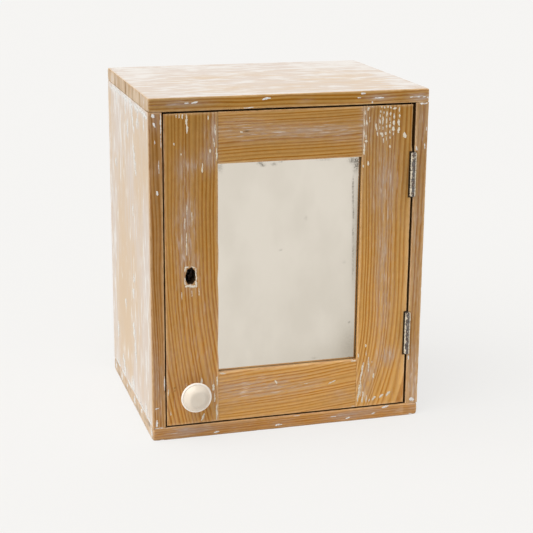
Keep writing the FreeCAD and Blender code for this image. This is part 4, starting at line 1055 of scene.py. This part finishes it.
class CABINET_OT_door_frame(bpy.types.Operator):
    """Make the door's stiles and rails with their rebate, the keyhole and the hinge hollows"""

    bl_idname = "cabinet.door_frame"
    bl_label = "Door frame"

    def execute(self, context):
        steps = (1.2, 1.3, 1.2)
        back = DOOR_Y[1] + PAST
        into_sight = 3.0
        rebate_x = (SIGHT_X[0] - REBATE, SIGHT_X[1] + REBATE)
        rebate_z = (SIGHT_Z[0] - REBATE, SIGHT_Z[1] + REBATE)
        wood = {"film": DOOR_FILM, "grime": self.dirt}
        # Partly painted light and shade: darker top rail, lighter bottom rail, stiles darker towards the top
        left = pine_material("pine_left_stile", "Z", (226, 138), (0.25, 0.35), (-0.0004, 260), ring=4.4,
                             tint_and_shade=(1.08, 0.995, 0.72), shade_slope=-0.0009)
        right = pine_material("pine_right_stile", "Z", (-165, 182), (0.2, -0.25), (0.0015, 135), ring=3.0,
                              tint_and_shade=(1.36, 1.31, 1.1), shade_slope=-0.0012)
        top = pine_material("pine_top_rail", "X", (196, 150), (0.3, 0.9), ring=3.9, contrast=0.9,
                            tint_and_shade=(0.875, 0.845, 0.745))
        bottom = pine_material("pine_bottom_rail", "X", (-60, 140), (0.5, 6.5), (0.00027, 82), ring=3.9,
                               contrast=0.84, tint_and_shade=(1.205, 1.155, 0.99))

        def rebate(xs, zs):
            return block((xs[0], GLASS_Y, zs[0]), (xs[1], back, zs[1]))

        def stile_box(xs):
            return (xs[0], DOOR_Y[0], DOOR_Z[0]), (xs[1], DOOR_Y[1], DOOR_Z[1])

        past_z = (DOOR_Z[0] - PAST, DOOR_Z[1] + PAST)
        make_board("left_stile", left, steps, 41,
                   [rebate((rebate_x[0], SIGHT_X[0] + into_sight), past_z), self.keyhole(back)],
                   stile_box((DOOR_X[0], SIGHT_X[0])), change=self.wavy, **wood)
        make_board("right_stile", right, steps, 42,
                   [rebate((SIGHT_X[1] - into_sight, rebate_x[1]), past_z)] + knuckle_reliefs(1.7),
                   stile_box((SIGHT_X[1], DOOR_X[1])), change=self.drawn_in, **wood)
        past_x = (rebate_x[0] - PAST, rebate_x[1] + PAST)
        lap = 0.05
        for node, material, seed, z, glass_z, wash in (
                ("top_rail", top, 51, (SIGHT_Z[1], DOOR_Z[1]), (SIGHT_Z[1] - into_sight, rebate_z[1]), None),
                ("bottom_rail", bottom, 54, (DOOR_Z[0], SIGHT_Z[0]), (rebate_z[0], SIGHT_Z[0] + into_sight),
                 self.ledge)):
            ears = [block((x0, DOOR_Y[0] - PAST, z[0] - PAST), (x1, GLASS_Y, z[1] + PAST))
                    for x0, x1 in ((past_x[0], SIGHT_X[0] + lap), (SIGHT_X[1] - lap, past_x[1]))]
            make_board(node, material, steps, seed, ears + [rebate(past_x, glass_z)],
                       ((rebate_x[0], DOOR_Y[0], z[0]), (rebate_x[1], DOOR_Y[1], z[1])), wash=wash, **wood)
        return {"FINISHED"}

    def keyhole(self, back):
        """A cutter for the oval keyhole with its ragged edge."""
        half_width, half_height = 6.2, 9.8
        around = np.linspace(0, 2 * math.pi, 40, endpoint=False)
        circle = np.column_stack((np.cos(around), np.sin(around), 0 * around))
        ragged = 1 + 0.06 * ripple(circle * 10, 9, 71)
        outline = [(KEYHOLE[0] + half_width * r * x, KEYHOLE[1] + half_height * r * z)
                   for (x, z, _depth), r in zip(circle, ragged)]
        return prism(outline, (DOOR_Y[0] - PAST, DOOR_Y[0] + 0.5, DOOR_Y[0] + 1.3, back))

    def dirt(self, points, normals):
        """Painted shade beside the mirror, in the keyhole and in the hinge hollows; hinge stains and specks.
        """
        x, y, z = points.T
        depth = y - DOOR_Y[0]
        over = np.maximum.reduce((SIGHT_X[0] - x, x - SIGHT_X[1], SIGHT_Z[0] - z, z - SIGHT_Z[1]))
        # Painted shade on the rebate's reveal beside the mirror
        start = np.where(z < SIGHT_Z[0] + 1.0, 4.2, 3.2)
        reveal_shade = 0.9 * ramp(depth, start, 1.3) * (over < 1.5)
        in_hole = np.hypot((x - KEYHOLE[0]) / 8.0, (z - KEYHOLE[1]) / 12.0) < 1
        hollow = np.hypot(x - HINGE_AXIS[0], y - HINGE_AXIS[1]) < KNUCKLE_RADIUS + 1.9
        beside = np.minimum.reduce([np.abs(z - level) for level in HINGE_Z.values()]) < HINGE_LENGTH / 2 + 1.5
        stains = [(DOOR_X[1] - 4.0, level - 1.0, 6.0, 26.0, 0.3) for level in HINGE_Z.values()]
        # Painted shade in the keyhole and the hinge hollows; the stains and specks are dirt
        return np.maximum.reduce((reveal_shade, 0.97 * in_hole * ramp(depth, 0.2, 0.8), 0.95 * (hollow & beside),
                                  film_at(points, stains), film_at(points, DARK_SPECKS)))

    def wavy(self, points):
        """The opening's left edge is worn wavy."""
        points[:, X] += ramp(points[:, X], SIGHT_X[0] - 4.0, 4.0) * np.interp(points[:, Z], *zip(*WAVY_EDGE))
        return points

    def drawn_in(self, points):
        """Above the upper hinge the stile's outer edge stands back a little."""
        points[:, X] -= 1.1 * ramp(points[:, X], DOOR_X[1] - 5.0, 5.0) * ramp(points[:, Z], 320.0, 6.0)
        return points

    def ledge(self, points, normals):
        """A little wash on the lower rail's upper edge."""
        return 0.3 * ramp(normals[:, Z], 0.3, 0.4) * (points[:, Z] > SIGHT_Z[0] - 2.0)


class CABINET_OT_mirror(bpy.types.Operator):
    """Make the old mirror, its backing and the beads that hold them"""

    bl_idname = "cabinet.mirror"
    bl_label = "Mirror and beads"

    def execute(self, context):
        glass = context.scene.pine_cabinet.glass
        piece = place_mesh("silvered_mirror", worn_block(*cad_box("mirror"), (1.0, 1.2, 1.0), 0.25, 0.05, 51))
        smooth(piece)
        points, _normals = corners_of(piece)
        mark(piece, "tarnish", film_at(points, TARNISH))
        # Painted reflection: darker silver where the mirror would show shade
        mark(piece, "dim", film_at(points, REFLECTED_SHADE))
        hand_over(piece, mirror_material("silvered_glass"), "mirror")
        sheet = worn_block(*cad_box("mirror_backing"), (3.0, 1.2, 3.0), 0.3, 0.3, 52)
        piece = place_mesh("card_backing", sheet)
        smooth(piece)
        card = pale_material("backing_card", glass.backing, (0.12, 0.08, 0.05), 0.5, 0.85)
        hand_over(piece, card, "mirror_backing")
        wood = {"lean": (0.5, 0.4), "ring": 3.8, "contrast": 0.85, "raw": 0.4}
        upright = pine_material("pine_bead", "Z", (60, 40), **wood)
        across = pine_material("pine_cross_bead", "X", (30, 50), **wood)
        for number, side in enumerate(("left", "right", "top", "bottom")):
            material, steps = (upright, (1.5, 1.5, 3.0)) if number < 2 else (across, (3.0, 1.5, 1.5))
            make_board("glazing_bead_" + side, material, steps, 55 + number)
        return {"FINISHED"}


class CABINET_OT_hinges(bpy.types.Operator):
    """Make the two butt hinges: rolled knuckles, leaves and pins, with paint left on them"""

    bl_idname = "cabinet.hinges"
    bl_label = "Hinges"

    def execute(self, context):
        steel = metal_material("hinge_iron", context.scene.pine_cabinet.metal.iron, 0.45, True)
        for level, z in HINGE_Z.items():
            low, high = z - HINGE_LENGTH / 2, z + HINGE_LENGTH / 2
            for owner, body in enumerate(("cabinet", "door")):
                self.finish("hinge_%s_%s_leaf" % (level, body), self.leaf(level, low, owner, body), steel)
            half = [(0, 0.8), (1.5, 0.8), (2.2, 0.55), (2.4, 0.0), (1.4, -0.02)]
            pin = [(r, low - d) for r, d in half] + [(r, high + d) for r, d in reversed(half)]
            self.finish("hinge_%s_pin" % level, turned(pin, 32, (*HINGE_AXIS, 0), UP), steel)
        return {"FINISHED"}

    def leaf(self, level, low, owner, body):
        """A leaf with every second knuckle of its hinge."""
        x, y = HINGE_AXIS
        radius = KNUCKLE_RADIUS
        near, far = LEAF_X[body]
        length = HINGE_LENGTH / KNUCKLES
        gap, reach = 0.12, 18.0
        parts = [worn_block((near, y + radius + 0.4, low), (far, y + reach, low + HINGE_LENGTH),
                            (0.5, 1.2, 1.2), 0.12, 0.12, 61 + owner)]
        for number in range(owner, KNUCKLES, 2):
            z0 = low + number * length + gap
            z1 = low + (number + 1) * length - gap
            rim = [(0, 0), (radius - 0.55, 0), (radius - 0.16, 0.16), (radius, 0.5)]
            curve = [(r, z0 + d) for r, d in rim]
            curve += [(radius, z0 + t * (z1 - z0)) for t in (0.2, 0.35, 0.5, 0.65, 0.8)]
            curve += [(r, z1 - d) for r, d in reversed(rim)]
            knuckle = turned(curve, 40, (x, y, 0), UP)
            parts.append(self.lumpy(knuckle, number + (10 if level == "upper" else 30)))
            parts.append(worn_block((near, y + 0.5, z0), (far, y + radius + 0.9, z1),
                                    (0.5, 0.7, 1.2), 0.1, 0.05, 65))
        return joined(parts)

    def lumpy(self, shape, seed):
        """Thick old paint makes a knuckle uneven."""
        points, faces = shape
        out = points - np.array((*HINGE_AXIS, 0.0))
        out[:, Z] = 0
        length = np.linalg.norm(out, axis=1, keepdims=True)
        move = 0.16 * ripple(points, 4.0, seed)[:, None] - 0.1
        return points + np.where(length > 1.0, out / np.maximum(length, 1e-6) * move, 0), faces

    def finish(self, node, shape, steel):
        """Paint stays in the corners beside a knuckle and is rubbed off along its middle."""
        piece = place_mesh("iron_" + node, shape)
        smooth(piece, 35)
        points, _normals = corners_of(piece)
        side = (points[:, X] - HINGE_AXIS[0]) / KNUCKLE_RADIUS
        hidden = points[:, Y] > FRONT + 3.5
        mark(piece, "paint", 0.43 + 0.5 * ramp(side, 0.1, 0.7) + 0.3 * ramp(-side, 0.5, 0.5) - 0.4 * hidden)
        hand_over(piece, steel, node)


class CABINET_OT_knob(bpy.types.Operator):
    """Make the turned knob with its foot, neck, beaded rim and low dome"""

    bl_idname = "cabinet.knob"
    bl_label = "Knob"

    def execute(self, context):
        knob = context.scene.pine_cabinet.knob
        radius, length = knob.radius / MM, knob.length / MM
        foot, foot_end = 10.2, 2.1
        neck, neck_end = 7.5, 8.3
        bead_wide, bead_high, crown = 1.6, 1.5, 0.25
        rim = length - 7.8
        bead = radius - bead_wide
        face = 0.46 * radius
        base, top = rim + 2.5, length - crown
        inner = bead - 0.4
        curve = [(0, 0), (9.6, 0), (10.3, 0.35), (10.5, 0.9), (10.5, 1.6), (foot, foot_end)]
        curve += [(foot + (neck - foot) * t ** 0.55, foot_end + (neck_end - foot_end) * t)
                  for t in (0.15, 0.3, 0.5, 0.75, 1.0)]
        curve += [(neck + (bead - neck) * t ** 2.1, neck_end + (rim - neck_end) * t)
                  for t in (0.2, 0.4, 0.55, 0.7, 0.82, 0.92, 1.0)]
        turns = [math.radians(angle) for angle in range(-80, 81, 20)]
        curve += [(bead + bead_wide * math.cos(a), rim + bead_high * (1 + math.sin(a))) for a in turns]
        curve += [(bead - 0.1, base), (inner, base - 0.05)]
        for t in np.linspace(0.06, 1.0, 17):
            rise = 0.45 * math.sin(t * math.pi / 2) + 0.55 * (1.12 * t - 0.12 * t ** 8)
            curve.append((face + (inner - face) * (1 - t), base + (top - base) * rise))
        curve += [(r, top + crown * (1 - (r / face) ** 2)) for r in np.linspace(face * 0.96, 0.8, 9)]
        curve += [(0, length)]
        piece = place_mesh("turned_knob", turned(curve, 96, (KNOB[0], DOOR_Y[0], KNOB[1]), (0, -1, 0)))
        smooth(piece, 60)
        points, _normals = corners_of(piece)
        x, z = points[:, X] - KNOB[0], points[:, Z] - KNOB[1]
        out = DOOR_Y[0] - points[:, Y]
        # Painted shade on the face, set a little to the lower right; the rim is made paler
        mark(piece, "shaded_face", ramp(np.hypot(x - 3.0, z + 2.4), 12.5, -3.0) * (out > rim + 2.0))
        mark(piece, "rim", (np.hypot(x, z) > bead - 0.2) * ramp(out, rim - 0.5, 1.0))
        hand_over(piece, pale_material("cream_knob", knob.cream, (0.42, 0.30, 0.19), 0.1, 0.3, 0.3), "knob")
        return {"FINISHED"}


class CABINET_OT_lock(bpy.types.Operator):
    """Give the lock on the door's back, and the knob's screw and washer, their iron"""

    bl_idname = "cabinet.lock"
    bl_label = "Lock"

    def execute(self, context):
        metal = context.scene.pine_cabinet.metal
        iron = metal_material("lock_iron", metal.dark_iron, 0.55)
        bright = metal_material("bolt_iron", metal.iron, 0.2)
        for node in ("lock_case", "lock_cap", "lock_drill_pin", "lock_bolt_spring", "knob_screw",
                     "knob_washer"):
            self.dress(node, iron, 0.3)
        self.dress("lock_bolt", bright, 0.4)
        return {"FINISHED"}

    def dress(self, node, material, ease):
        """A solid keeps its shape and gets a material and slightly eased edges."""
        piece = frame["nodes"][node]
        finish_with(piece, material)
        weld = piece.modifiers.new("weld", "WELD")
        weld.merge_threshold = 0.01 * MM
        bevel = piece.modifiers.new("ease", "BEVEL")
        bevel.width = ease * MM
        bevel.segments = 2
        bevel.limit_method = "ANGLE"
        bevel.angle_limit = math.radians(50)


def fastener_tree(name, slotted):
    """Geometry nodes that put a nail, brad or screw on each point, along the point's way."""
    tree = bpy.data.node_groups.new(name, "GeometryNodeTree")
    kinds = {"Geometry": "Geometry", "Length": "Float", "Shank Radius": "Float", "Head Radius": "Float",
             "Head Height": "Float", "Seed": "Int", "Finish": "Material"}
    for label, kind in kinds.items():
        tree.interface.new_socket(label, in_out="INPUT", socket_type="NodeSocket" + kind)
    tree.interface.new_socket("Geometry", in_out="OUTPUT", socket_type="NodeSocketGeometry")
    w = Wires(tree)
    given = w.outs("NodeGroupInput")
    wide, thin, height = given["Head Radius"], given["Shank Radius"], given["Head Height"]
    head = w.out("GeometryNodeMeshCone", {
        "Vertices": 24, "Side Segments": 2, "Fill Segments": 2, "Depth": height,
        "Radius Top": wide if slotted else wide * 0.82, "Radius Bottom": thin if slotted else wide})
    if slotted:
        slot = w.out("GeometryNodeMeshCube", {"Size": w.xyz(wide * 0.26, wide * 3.0, height)})
        slot = w.raised(slot, height * 1.1)
        head = w.out("GeometryNodeMeshBoolean", {"Mesh 1": head, "Mesh 2": slot}, operation="DIFFERENCE")
    rest = given["Length"] - height
    shank = w.out("GeometryNodeMeshCone", {"Vertices": 12, "Side Segments": 1, "Radius Top": thin,
                                           "Radius Bottom": thin * 0.5, "Depth": rest})
    shank = w.raised(shank, rest * -1.0)
    whole = w.node("GeometryNodeJoinGeometry")
    for part in (head, shank):
        w.feed(whole.inputs[0], part)
    way = w.out("GeometryNodeInputNamedAttribute", {"Name": "way"}, "Attribute", data_type="FLOAT_VECTOR")
    aim = w.out("FunctionNodeAlignRotationToVector", {"Vector": way}, axis="Z")
    spin = w.out("FunctionNodeRandomValue", {"Max": (0, 0, 2 * math.pi), "Seed": given["Seed"]}, "Value",
                 data_type="FLOAT_VECTOR")
    spin = w.out("FunctionNodeEulerToRotation", {"Euler": spin})
    aim = w.out("FunctionNodeRotateRotation", {"Rotation": aim, "Rotate By": spin}, rotation_space="LOCAL")
    set_out = w.out("GeometryNodeInstanceOnPoints", {
        "Points": given["Geometry"], "Instance": Wire(w, whole.outputs[0]), "Rotation": aim})
    real = w.out("GeometryNodeRealizeInstances", {"Geometry": set_out})
    dressed = w.out("GeometryNodeSetMaterial", {"Geometry": real, "Material": given["Finish"]})
    w.node("NodeGroupOutput", {"Geometry": dressed})
    return tree


class CABINET_OT_fasteners(bpy.types.Operator):
    """Put in every nail, brad and screw with geometry nodes"""

    bl_idname = "cabinet.fasteners"
    bl_label = "Nails and screws"

    def execute(self, context):
        metal = context.scene.pine_cabinet.metal
        iron = metal_material("nail_iron", metal.dark_iron, 0.6)
        steel = metal_material("screw_iron", metal.iron, 0.35)
        screws, nails = fastener_tree("Slotted screws", True), fastener_tree("Nails", False)
        for number, (node, (sizes, sites)) in enumerate(FASTENERS.items()):
            length, shank, head, height, sink = sizes
            tree, material = (nails, iron) if sink else (screws, steel)
            ways = np.array([way for _at, way in sites], float)
            points = np.array([at for at, _way in sites]) + ways * (sink + height)
            piece = place_mesh("driven_" + node, (points, []))
            layer = piece.data.attributes.new("way", "FLOAT_VECTOR", "POINT")
            layer.data.foreach_set("vector", -ways.astype(np.float32).ravel())
            modifier = piece.modifiers.new("fasteners", "NODES")
            modifier.node_group = tree
            values = {"Length": length * MM, "Shank Radius": shank * MM, "Head Radius": head * MM,
                      "Head Height": height * MM, "Seed": number, "Finish": material}
            for item in tree.interface.items_tree:
                if item.in_out == "INPUT" and item.name in values:
                    modifier[item.identifier] = values[item.name]
            settle(piece)
            if len(piece.data.polygons) == 0:
                raise RuntimeError("no fasteners were made for " + node)
            hand_over(piece, material, node)
        return {"FINISHED"}


class CABINET_OT_paint(bpy.types.Operator):
    """Lay the thick remains of white paint on the door, the carcass edges and the sides"""

    bl_idname = "cabinet.paint"
    bl_label = "Paint remains"

    # Across a sliver: place between its edges, share of its height, how thick the paint is there
    SECTION = ((-1.0, -0.4, 0.0), (-0.62, 0.9, 0.75), (0.0, 1.0, 1.0), (0.62, 0.9, 0.75), (1.0, -0.4, 0.0),
               (0.0, -3.0, 0.0))

    def execute(self, context):
        pine = context.scene.pine_cabinet.pine
        door = ("left_stile", "right_stile", "top_rail", "bottom_rail")
        carcass = ("top_board", "bottom_board", "left_side", "right_side")
        # Flat faces, each as its axis across, its normal and a point; the other axis is up
        front, left, right = (np.array(face, float) for face in (
            ((1, 0, 0), (0, -1, 0), (0, FRONT, 0)),
            ((0, 1, 0), (-1, 0, 0), (-HALF_WIDTH, 0, 0)),
            ((0, -1, 0), (1, 0, 0), (HALF_WIDTH, 0, 0))))
        on_door = self.lay(DOOR_FLECKS, front, door, 81)
        on_carcass = self.lay(CARCASS_FLECKS, front, carcass, 82)
        on_carcass += self.lay(SIDE_FLECKS, left, carcass, 83) + self.lay(SIDE_FLECKS, right, carcass, 84)
        cream = flake_material("cream_paint", pine.cream_paint, 0.4)
        white = flake_material("white_paint", pine.paint, 0.15)
        for name, shapes, body, paint in (("door_paint_remains", on_door, "door", cream),
                                          ("carcass_paint_remains", on_carcass, "cabinet", white)):
            piece = place_mesh(name, joined(shapes))
            smooth(piece, 60)
            slices = len(piece.data.vertices) // len(self.SECTION)
            mark(piece, "thick", np.tile([thick for _offset, _height, thick in self.SECTION], slices))
            finish_with(piece, paint)
            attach(piece, body)
        return {"FINISHED"}

    def lay(self, flecks, face, boards, seed):
        """Slivers of paint on the boards below a flat face."""
        across, out, origin = face
        graph = bpy.context.evaluated_depsgraph_get()
        trees = [BVHTree.FromObject(bpy.data.objects["pine_" + board], graph) for board in boards]
        rng = np.random.default_rng(seed)
        shapes = []
        for u0, v0, u1, v1, width in flecks:
            start = np.array((u0, v0))
            run = np.array((u1, v1)) - start
            length = np.linalg.norm(run)
            side = np.array((-run[1], run[0])) / length
            count = int(np.clip(length / 0.9, 5, 26))
            phase = rng.uniform(0, 6.28, 4)
            points = []
            for step in range(count + 1):
                t = step / count
                taper = max(0.06, (4 * t * (1 - t)) ** 0.4)
                far = t * length / 8
                ragged = 0.8 + 0.3 * math.sin(9 * far + phase[0]) * math.sin(4 * far + phase[1])
                ragged += rng.uniform(-0.22, 0.22) * min(1.0, 2.5 / width)
                half = 0.85 * width * taper * ragged
                wander = 0.14 * width * math.sin(5 * t * length / 9 + phase[2])
                middle = start + run * t + side * wander
                lift = 0.13 + 0.05 * math.sin(7 * t + phase[3])
                for offset, height, _thick in self.SECTION:
                    place = middle + side * half * offset
                    spot = origin + across * place[0] + np.array(UP) * place[1]
                    rise = self.ground(trees, spot, out) + lift * height * max(taper, 0.3)
                    points.append(spot + out * rise)
            shapes.append(self.outward(np.array(points), sleeve(len(self.SECTION), count + 1), out))
        return shapes

    def ground(self, trees, spot, out):
        """How far the wood stands out of the flat face at a spot."""
        above, reach, lowest = 4.0, 5.5, -1.2
        start = Vector((spot + out * above) * MM)
        hits = [tree.ray_cast(start, Vector(-out), reach * MM) for tree in trees]
        return max([lowest] + [above - hit[3] / MM for hit in hits if hit[0] is not None])

    def outward(self, points, faces, out):
        """Turns the faces round where the top of a sliver would face the wood."""
        a, b, c = (points[n] for n in faces[1][:3])
        if np.cross(b - a, c - a) @ out < 0:
            faces = [face[::-1] for face in faces]
        return points, faces


def seen_straight(w):
    """1 for what the camera sees itself, in a mirror or through glass."""
    rays = w.outs("ShaderNodeLightPath")
    seen = w.math("MAXIMUM", rays["Is Camera Ray"], rays["Is Glossy Ray"])
    return w.math("MAXIMUM", seen, rays["Is Transmission Ray"])


class CABINET_OT_stage(bpy.types.Operator):
    """Set up the floor, the light and the camera"""

    bl_idname = "cabinet.stage"
    bl_label = "Stage"

    def execute(self, context):
        stage = context.scene.pine_cabinet.stage
        context.scene.view_settings.view_transform = "Standard"
        self.floor(stage)
        self.light(context.scene, stage)
        self.camera(context.scene, stage)
        return {"FINISHED"}

    def floor(self, stage):
        wide, far = 6000.0, 9000.0
        corners = ((-wide, -wide, 0), (wide, -wide, 0), (wide, far, 0), (-wide, far, 0))
        floor = place_mesh("floor", (corners, [range(4)]))
        material, w, paint = new_material("pale_floor")
        soft = w.noise(object_mm(w), (0.0016, 0.0016, 0.0016))
        paint(Base_Color=w.mix(soft, stage.floor, [c * 0.985 for c in stage.floor]), Roughness=0.95,
              Specular_IOR_Level=0.0)
        nodes = material.node_tree.nodes
        glow = w.out("ShaderNodeEmission", {"Color": stage.backdrop, "Strength": 1.0})
        mixed = w.out("ShaderNodeMixShader", {0: seen_straight(w) * stage.floor_glow, 2: glow,
                                              1: Wire(w, nodes["Principled BSDF"].outputs[0])})
        w.feed(nodes["Material Output"].inputs["Surface"], mixed)
        finish_with(floor, material)

    def light(self, scene, stage):
        world = bpy.data.worlds.new("soft_light")
        world.use_nodes = True
        world.node_tree.nodes.clear()
        w = Wires(world.node_tree)
        around = w.out("ShaderNodeBackground", {"Color": (1.0, 0.985, 0.965), "Strength": stage.sky})
        backdrop = w.out("ShaderNodeBackground", {"Color": stage.backdrop, "Strength": 1.0})
        mixed = w.out("ShaderNodeMixShader", {0: seen_straight(w), 1: around, 2: backdrop})
        w.node("ShaderNodeOutputWorld", {"Surface": mixed})
        scene.world = world
        lamp = bpy.data.lights.new("window", "SUN")
        lamp.energy = stage.sun
        lamp.angle = math.radians(75)
        lamp.color = (1.0, 0.985, 0.96)
        window = bpy.data.objects.new("window", lamp)
        window.rotation_mode = "QUATERNION"
        window.rotation_quaternion = Vector((-0.5, -0.2, 0.84)).to_track_quat("Z", "Y")
        scene.collection.objects.link(window)

    def camera(self, scene, stage):
        lens = bpy.data.cameras.new("camera")
        lens.sensor_width = 36.0
        lens.lens = stage.lens
        lens.clip_start = 0.05
        lens.clip_end = 60.0
        camera = bpy.data.objects.new("camera", lens)
        place = Vector(stage.camera)
        back = (place - Vector(stage.target)).normalized()
        right = Vector((0, 0, 1)).cross(back).normalized()
        up = back.cross(right)
        turn = Matrix.Rotation(stage.roll, 3, back) @ Matrix((right, up, back)).transposed()
        camera.matrix_world = Matrix.LocRotScale(place, turn.to_quaternion(), None)
        scene.collection.objects.link(camera)
        scene.camera = camera


# Settings


def number_setting(label, words, default, **kind):
    return bpy.props.FloatProperty(name=label, description=words, default=default, **kind)


def length_setting(label, words, default):
    return number_setting(label, words, default, min=0.0, unit="LENGTH", precision=5)


def vector_setting(label, words, default, **kind):
    return bpy.props.FloatVectorProperty(name=label, description=words, default=default, **kind)


def colour_setting(label, words, default):
    return vector_setting(label, words, default, subtype="COLOR", size=3, min=0.0, max=1.0)


def place_setting(label, words, default):
    return vector_setting(label, words, default, subtype="TRANSLATION", unit="LENGTH")


def part_setting(label, words, group):
    return bpy.props.PointerProperty(type=group, name=label, description=words)


class PineSettings(bpy.types.PropertyGroup):
    edge_round: length_setting("Edge round", "Radius of the boards' edges where they are not worn", 0.0006)
    edge_wear: length_setting("Edge wear", "How much further the edges are worn round", 0.0005)
    earlywood: colour_setting("Earlywood", "The pale part of each year ring", (0.487, 0.278, 0.09))
    latewood: colour_setting("Latewood", "The dark part of each year ring", (0.332, 0.134, 0.008))
    raw_wood: colour_setting("Bare wood", "Unfinished pine inside the cabinet", (0.56, 0.40, 0.22))
    limewash: colour_setting("Wash", "White paint rubbed thin on the sides and the top", (0.60, 0.535, 0.49))
    thin_wash: colour_setting("Thin wash", "The wash where the wood shows through it", (0.60, 0.475, 0.345))
    streak: colour_setting("Streaks", "Whiter streaks in the wash", (0.69, 0.67, 0.645))
    film: colour_setting("Film", "Grey film that paint left on the front", (0.365, 0.295, 0.26))
    paint: colour_setting("Paint", "Thick remains of white paint on the carcass", (0.74, 0.735, 0.72))
    cream_paint: colour_setting("Cream paint", "Thick remains of paint on the door", (0.72, 0.66, 0.54))


class MetalSettings(bpy.types.PropertyGroup):
    iron: colour_setting("Iron", "Bare iron of the hinges and screws", (0.16, 0.15, 0.145))
    dark_iron: colour_setting("Dark iron", "Iron of the lock and the nails", (0.13, 0.12, 0.115))
    rust: colour_setting("Rust", "Rust on all iron", (0.085, 0.045, 0.024))
    paint: colour_setting("Paint on iron", "Old paint left on the hinges", (0.66, 0.60, 0.48))


class GlassSettings(bpy.types.PropertyGroup):
    silver: colour_setting("Silver", "The mirror's warm silver", (0.788, 0.733, 0.645))
    # Also the colour of the painted reflection's darker places
    silver_dull_and_shaded: colour_setting("Dim silver", "Silver in its duller clouds", (0.46, 0.41, 0.33))
    tarnish: colour_setting("Tarnish", "Where the silver has gone", (0.22, 0.20, 0.165))
    backing: colour_setting("Backing", "The board behind the mirror", (0.24, 0.17, 0.11))


class KnobSettings(bpy.types.PropertyGroup):
    radius: length_setting("Radius", "Radius of the knob's rim", 0.0175)
    length: length_setting("Length", "How far the knob stands out of the door", 0.023)
    cream: colour_setting("Cream", "The knob's colour", (0.715, 0.64, 0.545))


class StageSettings(bpy.types.PropertyGroup):
    camera: place_setting("Camera", "Where the camera stands", (-0.43673, -1.53526, 0.61565))
    target: place_setting("Target", "The point that the camera looks at", (-0.028, -0.125, 0.1967))
    roll: number_setting("Roll", "Turn of the camera about its view", math.radians(0.469), subtype="ANGLE")
    lens: number_setting("Lens", "Focal length on a 36 mm sensor", 92.19, unit="CAMERA")
    sun: number_setting("Window light", "Strength of the soft light from the left", 3.0)
    sky: number_setting("Light all round", "Strength of the soft light from every side", 0.55)
    floor: colour_setting("Floor", "Colour of the floor", (0.80, 0.795, 0.785))
    floor_glow: number_setting("Floor glow", "How far the floor shows the backdrop's colour", 0.8)
    backdrop: colour_setting("Backdrop", "What the camera sees behind the floor", (0.88, 0.874, 0.862))


class CabinetSettings(bpy.types.PropertyGroup):
    pine: part_setting("Pine", "Boards and what is left on them", PineSettings)
    metal: part_setting("Metal", "Hinges, lock and fasteners", MetalSettings)
    glass: part_setting("Mirror", "Mirror and backing", GlassSettings)
    knob: part_setting("Knob", "The door's knob", KnobSettings)
    stage: part_setting("Stage", "Floor, light and camera", StageSettings)


STEPS = (CABINET_OT_carcass, CABINET_OT_inside, CABINET_OT_door_frame, CABINET_OT_mirror, CABINET_OT_hinges,
         CABINET_OT_knob, CABINET_OT_lock, CABINET_OT_fasteners, CABINET_OT_paint, CABINET_OT_stage)


class CABINET_PT_panel(bpy.types.Panel):
    """Lists the cabinet's settings and its steps"""

    bl_idname = "CABINET_PT_panel"
    bl_label = "Pine mirror cabinet"
    bl_space_type = "VIEW_3D"
    bl_region_type = "UI"
    bl_category = "Cabinet"

    def draw(self, context):
        settings = context.scene.pine_cabinet
        for part in ("pine", "metal", "glass", "knob", "stage"):
            column = self.layout.column(heading=part.capitalize())
            group = getattr(settings, part)
            for setting in group.bl_rna.properties.keys():
                if setting not in ("rna_type", "name"):
                    column.prop(group, setting)
        for step in STEPS:
            self.layout.operator(step.bl_idname)


CLASSES = (PineSettings, MetalSettings, GlassSettings, KnobSettings, StageSettings, CabinetSettings, *STEPS,
           CABINET_PT_panel)


def register():
    for cls in CLASSES:
        bpy.utils.register_class(cls)
    bpy.types.Scene.pine_cabinet = bpy.props.PointerProperty(type=CabinetSettings)


def unregister():
    del bpy.types.Scene.pine_cabinet
    for cls in reversed(CLASSES):
        bpy.utils.unregister_class(cls)


def main():
    register()
    bpy.ops.cabinet.carcass()
    bpy.ops.cabinet.inside()
    bpy.ops.cabinet.door_frame()
    bpy.ops.cabinet.mirror()
    bpy.ops.cabinet.hinges()
    bpy.ops.cabinet.knob()
    bpy.ops.cabinet.lock()
    bpy.ops.cabinet.fasteners()
    bpy.ops.cabinet.paint()
    bpy.ops.cabinet.stage()


if __name__ == "__main__":
    main()
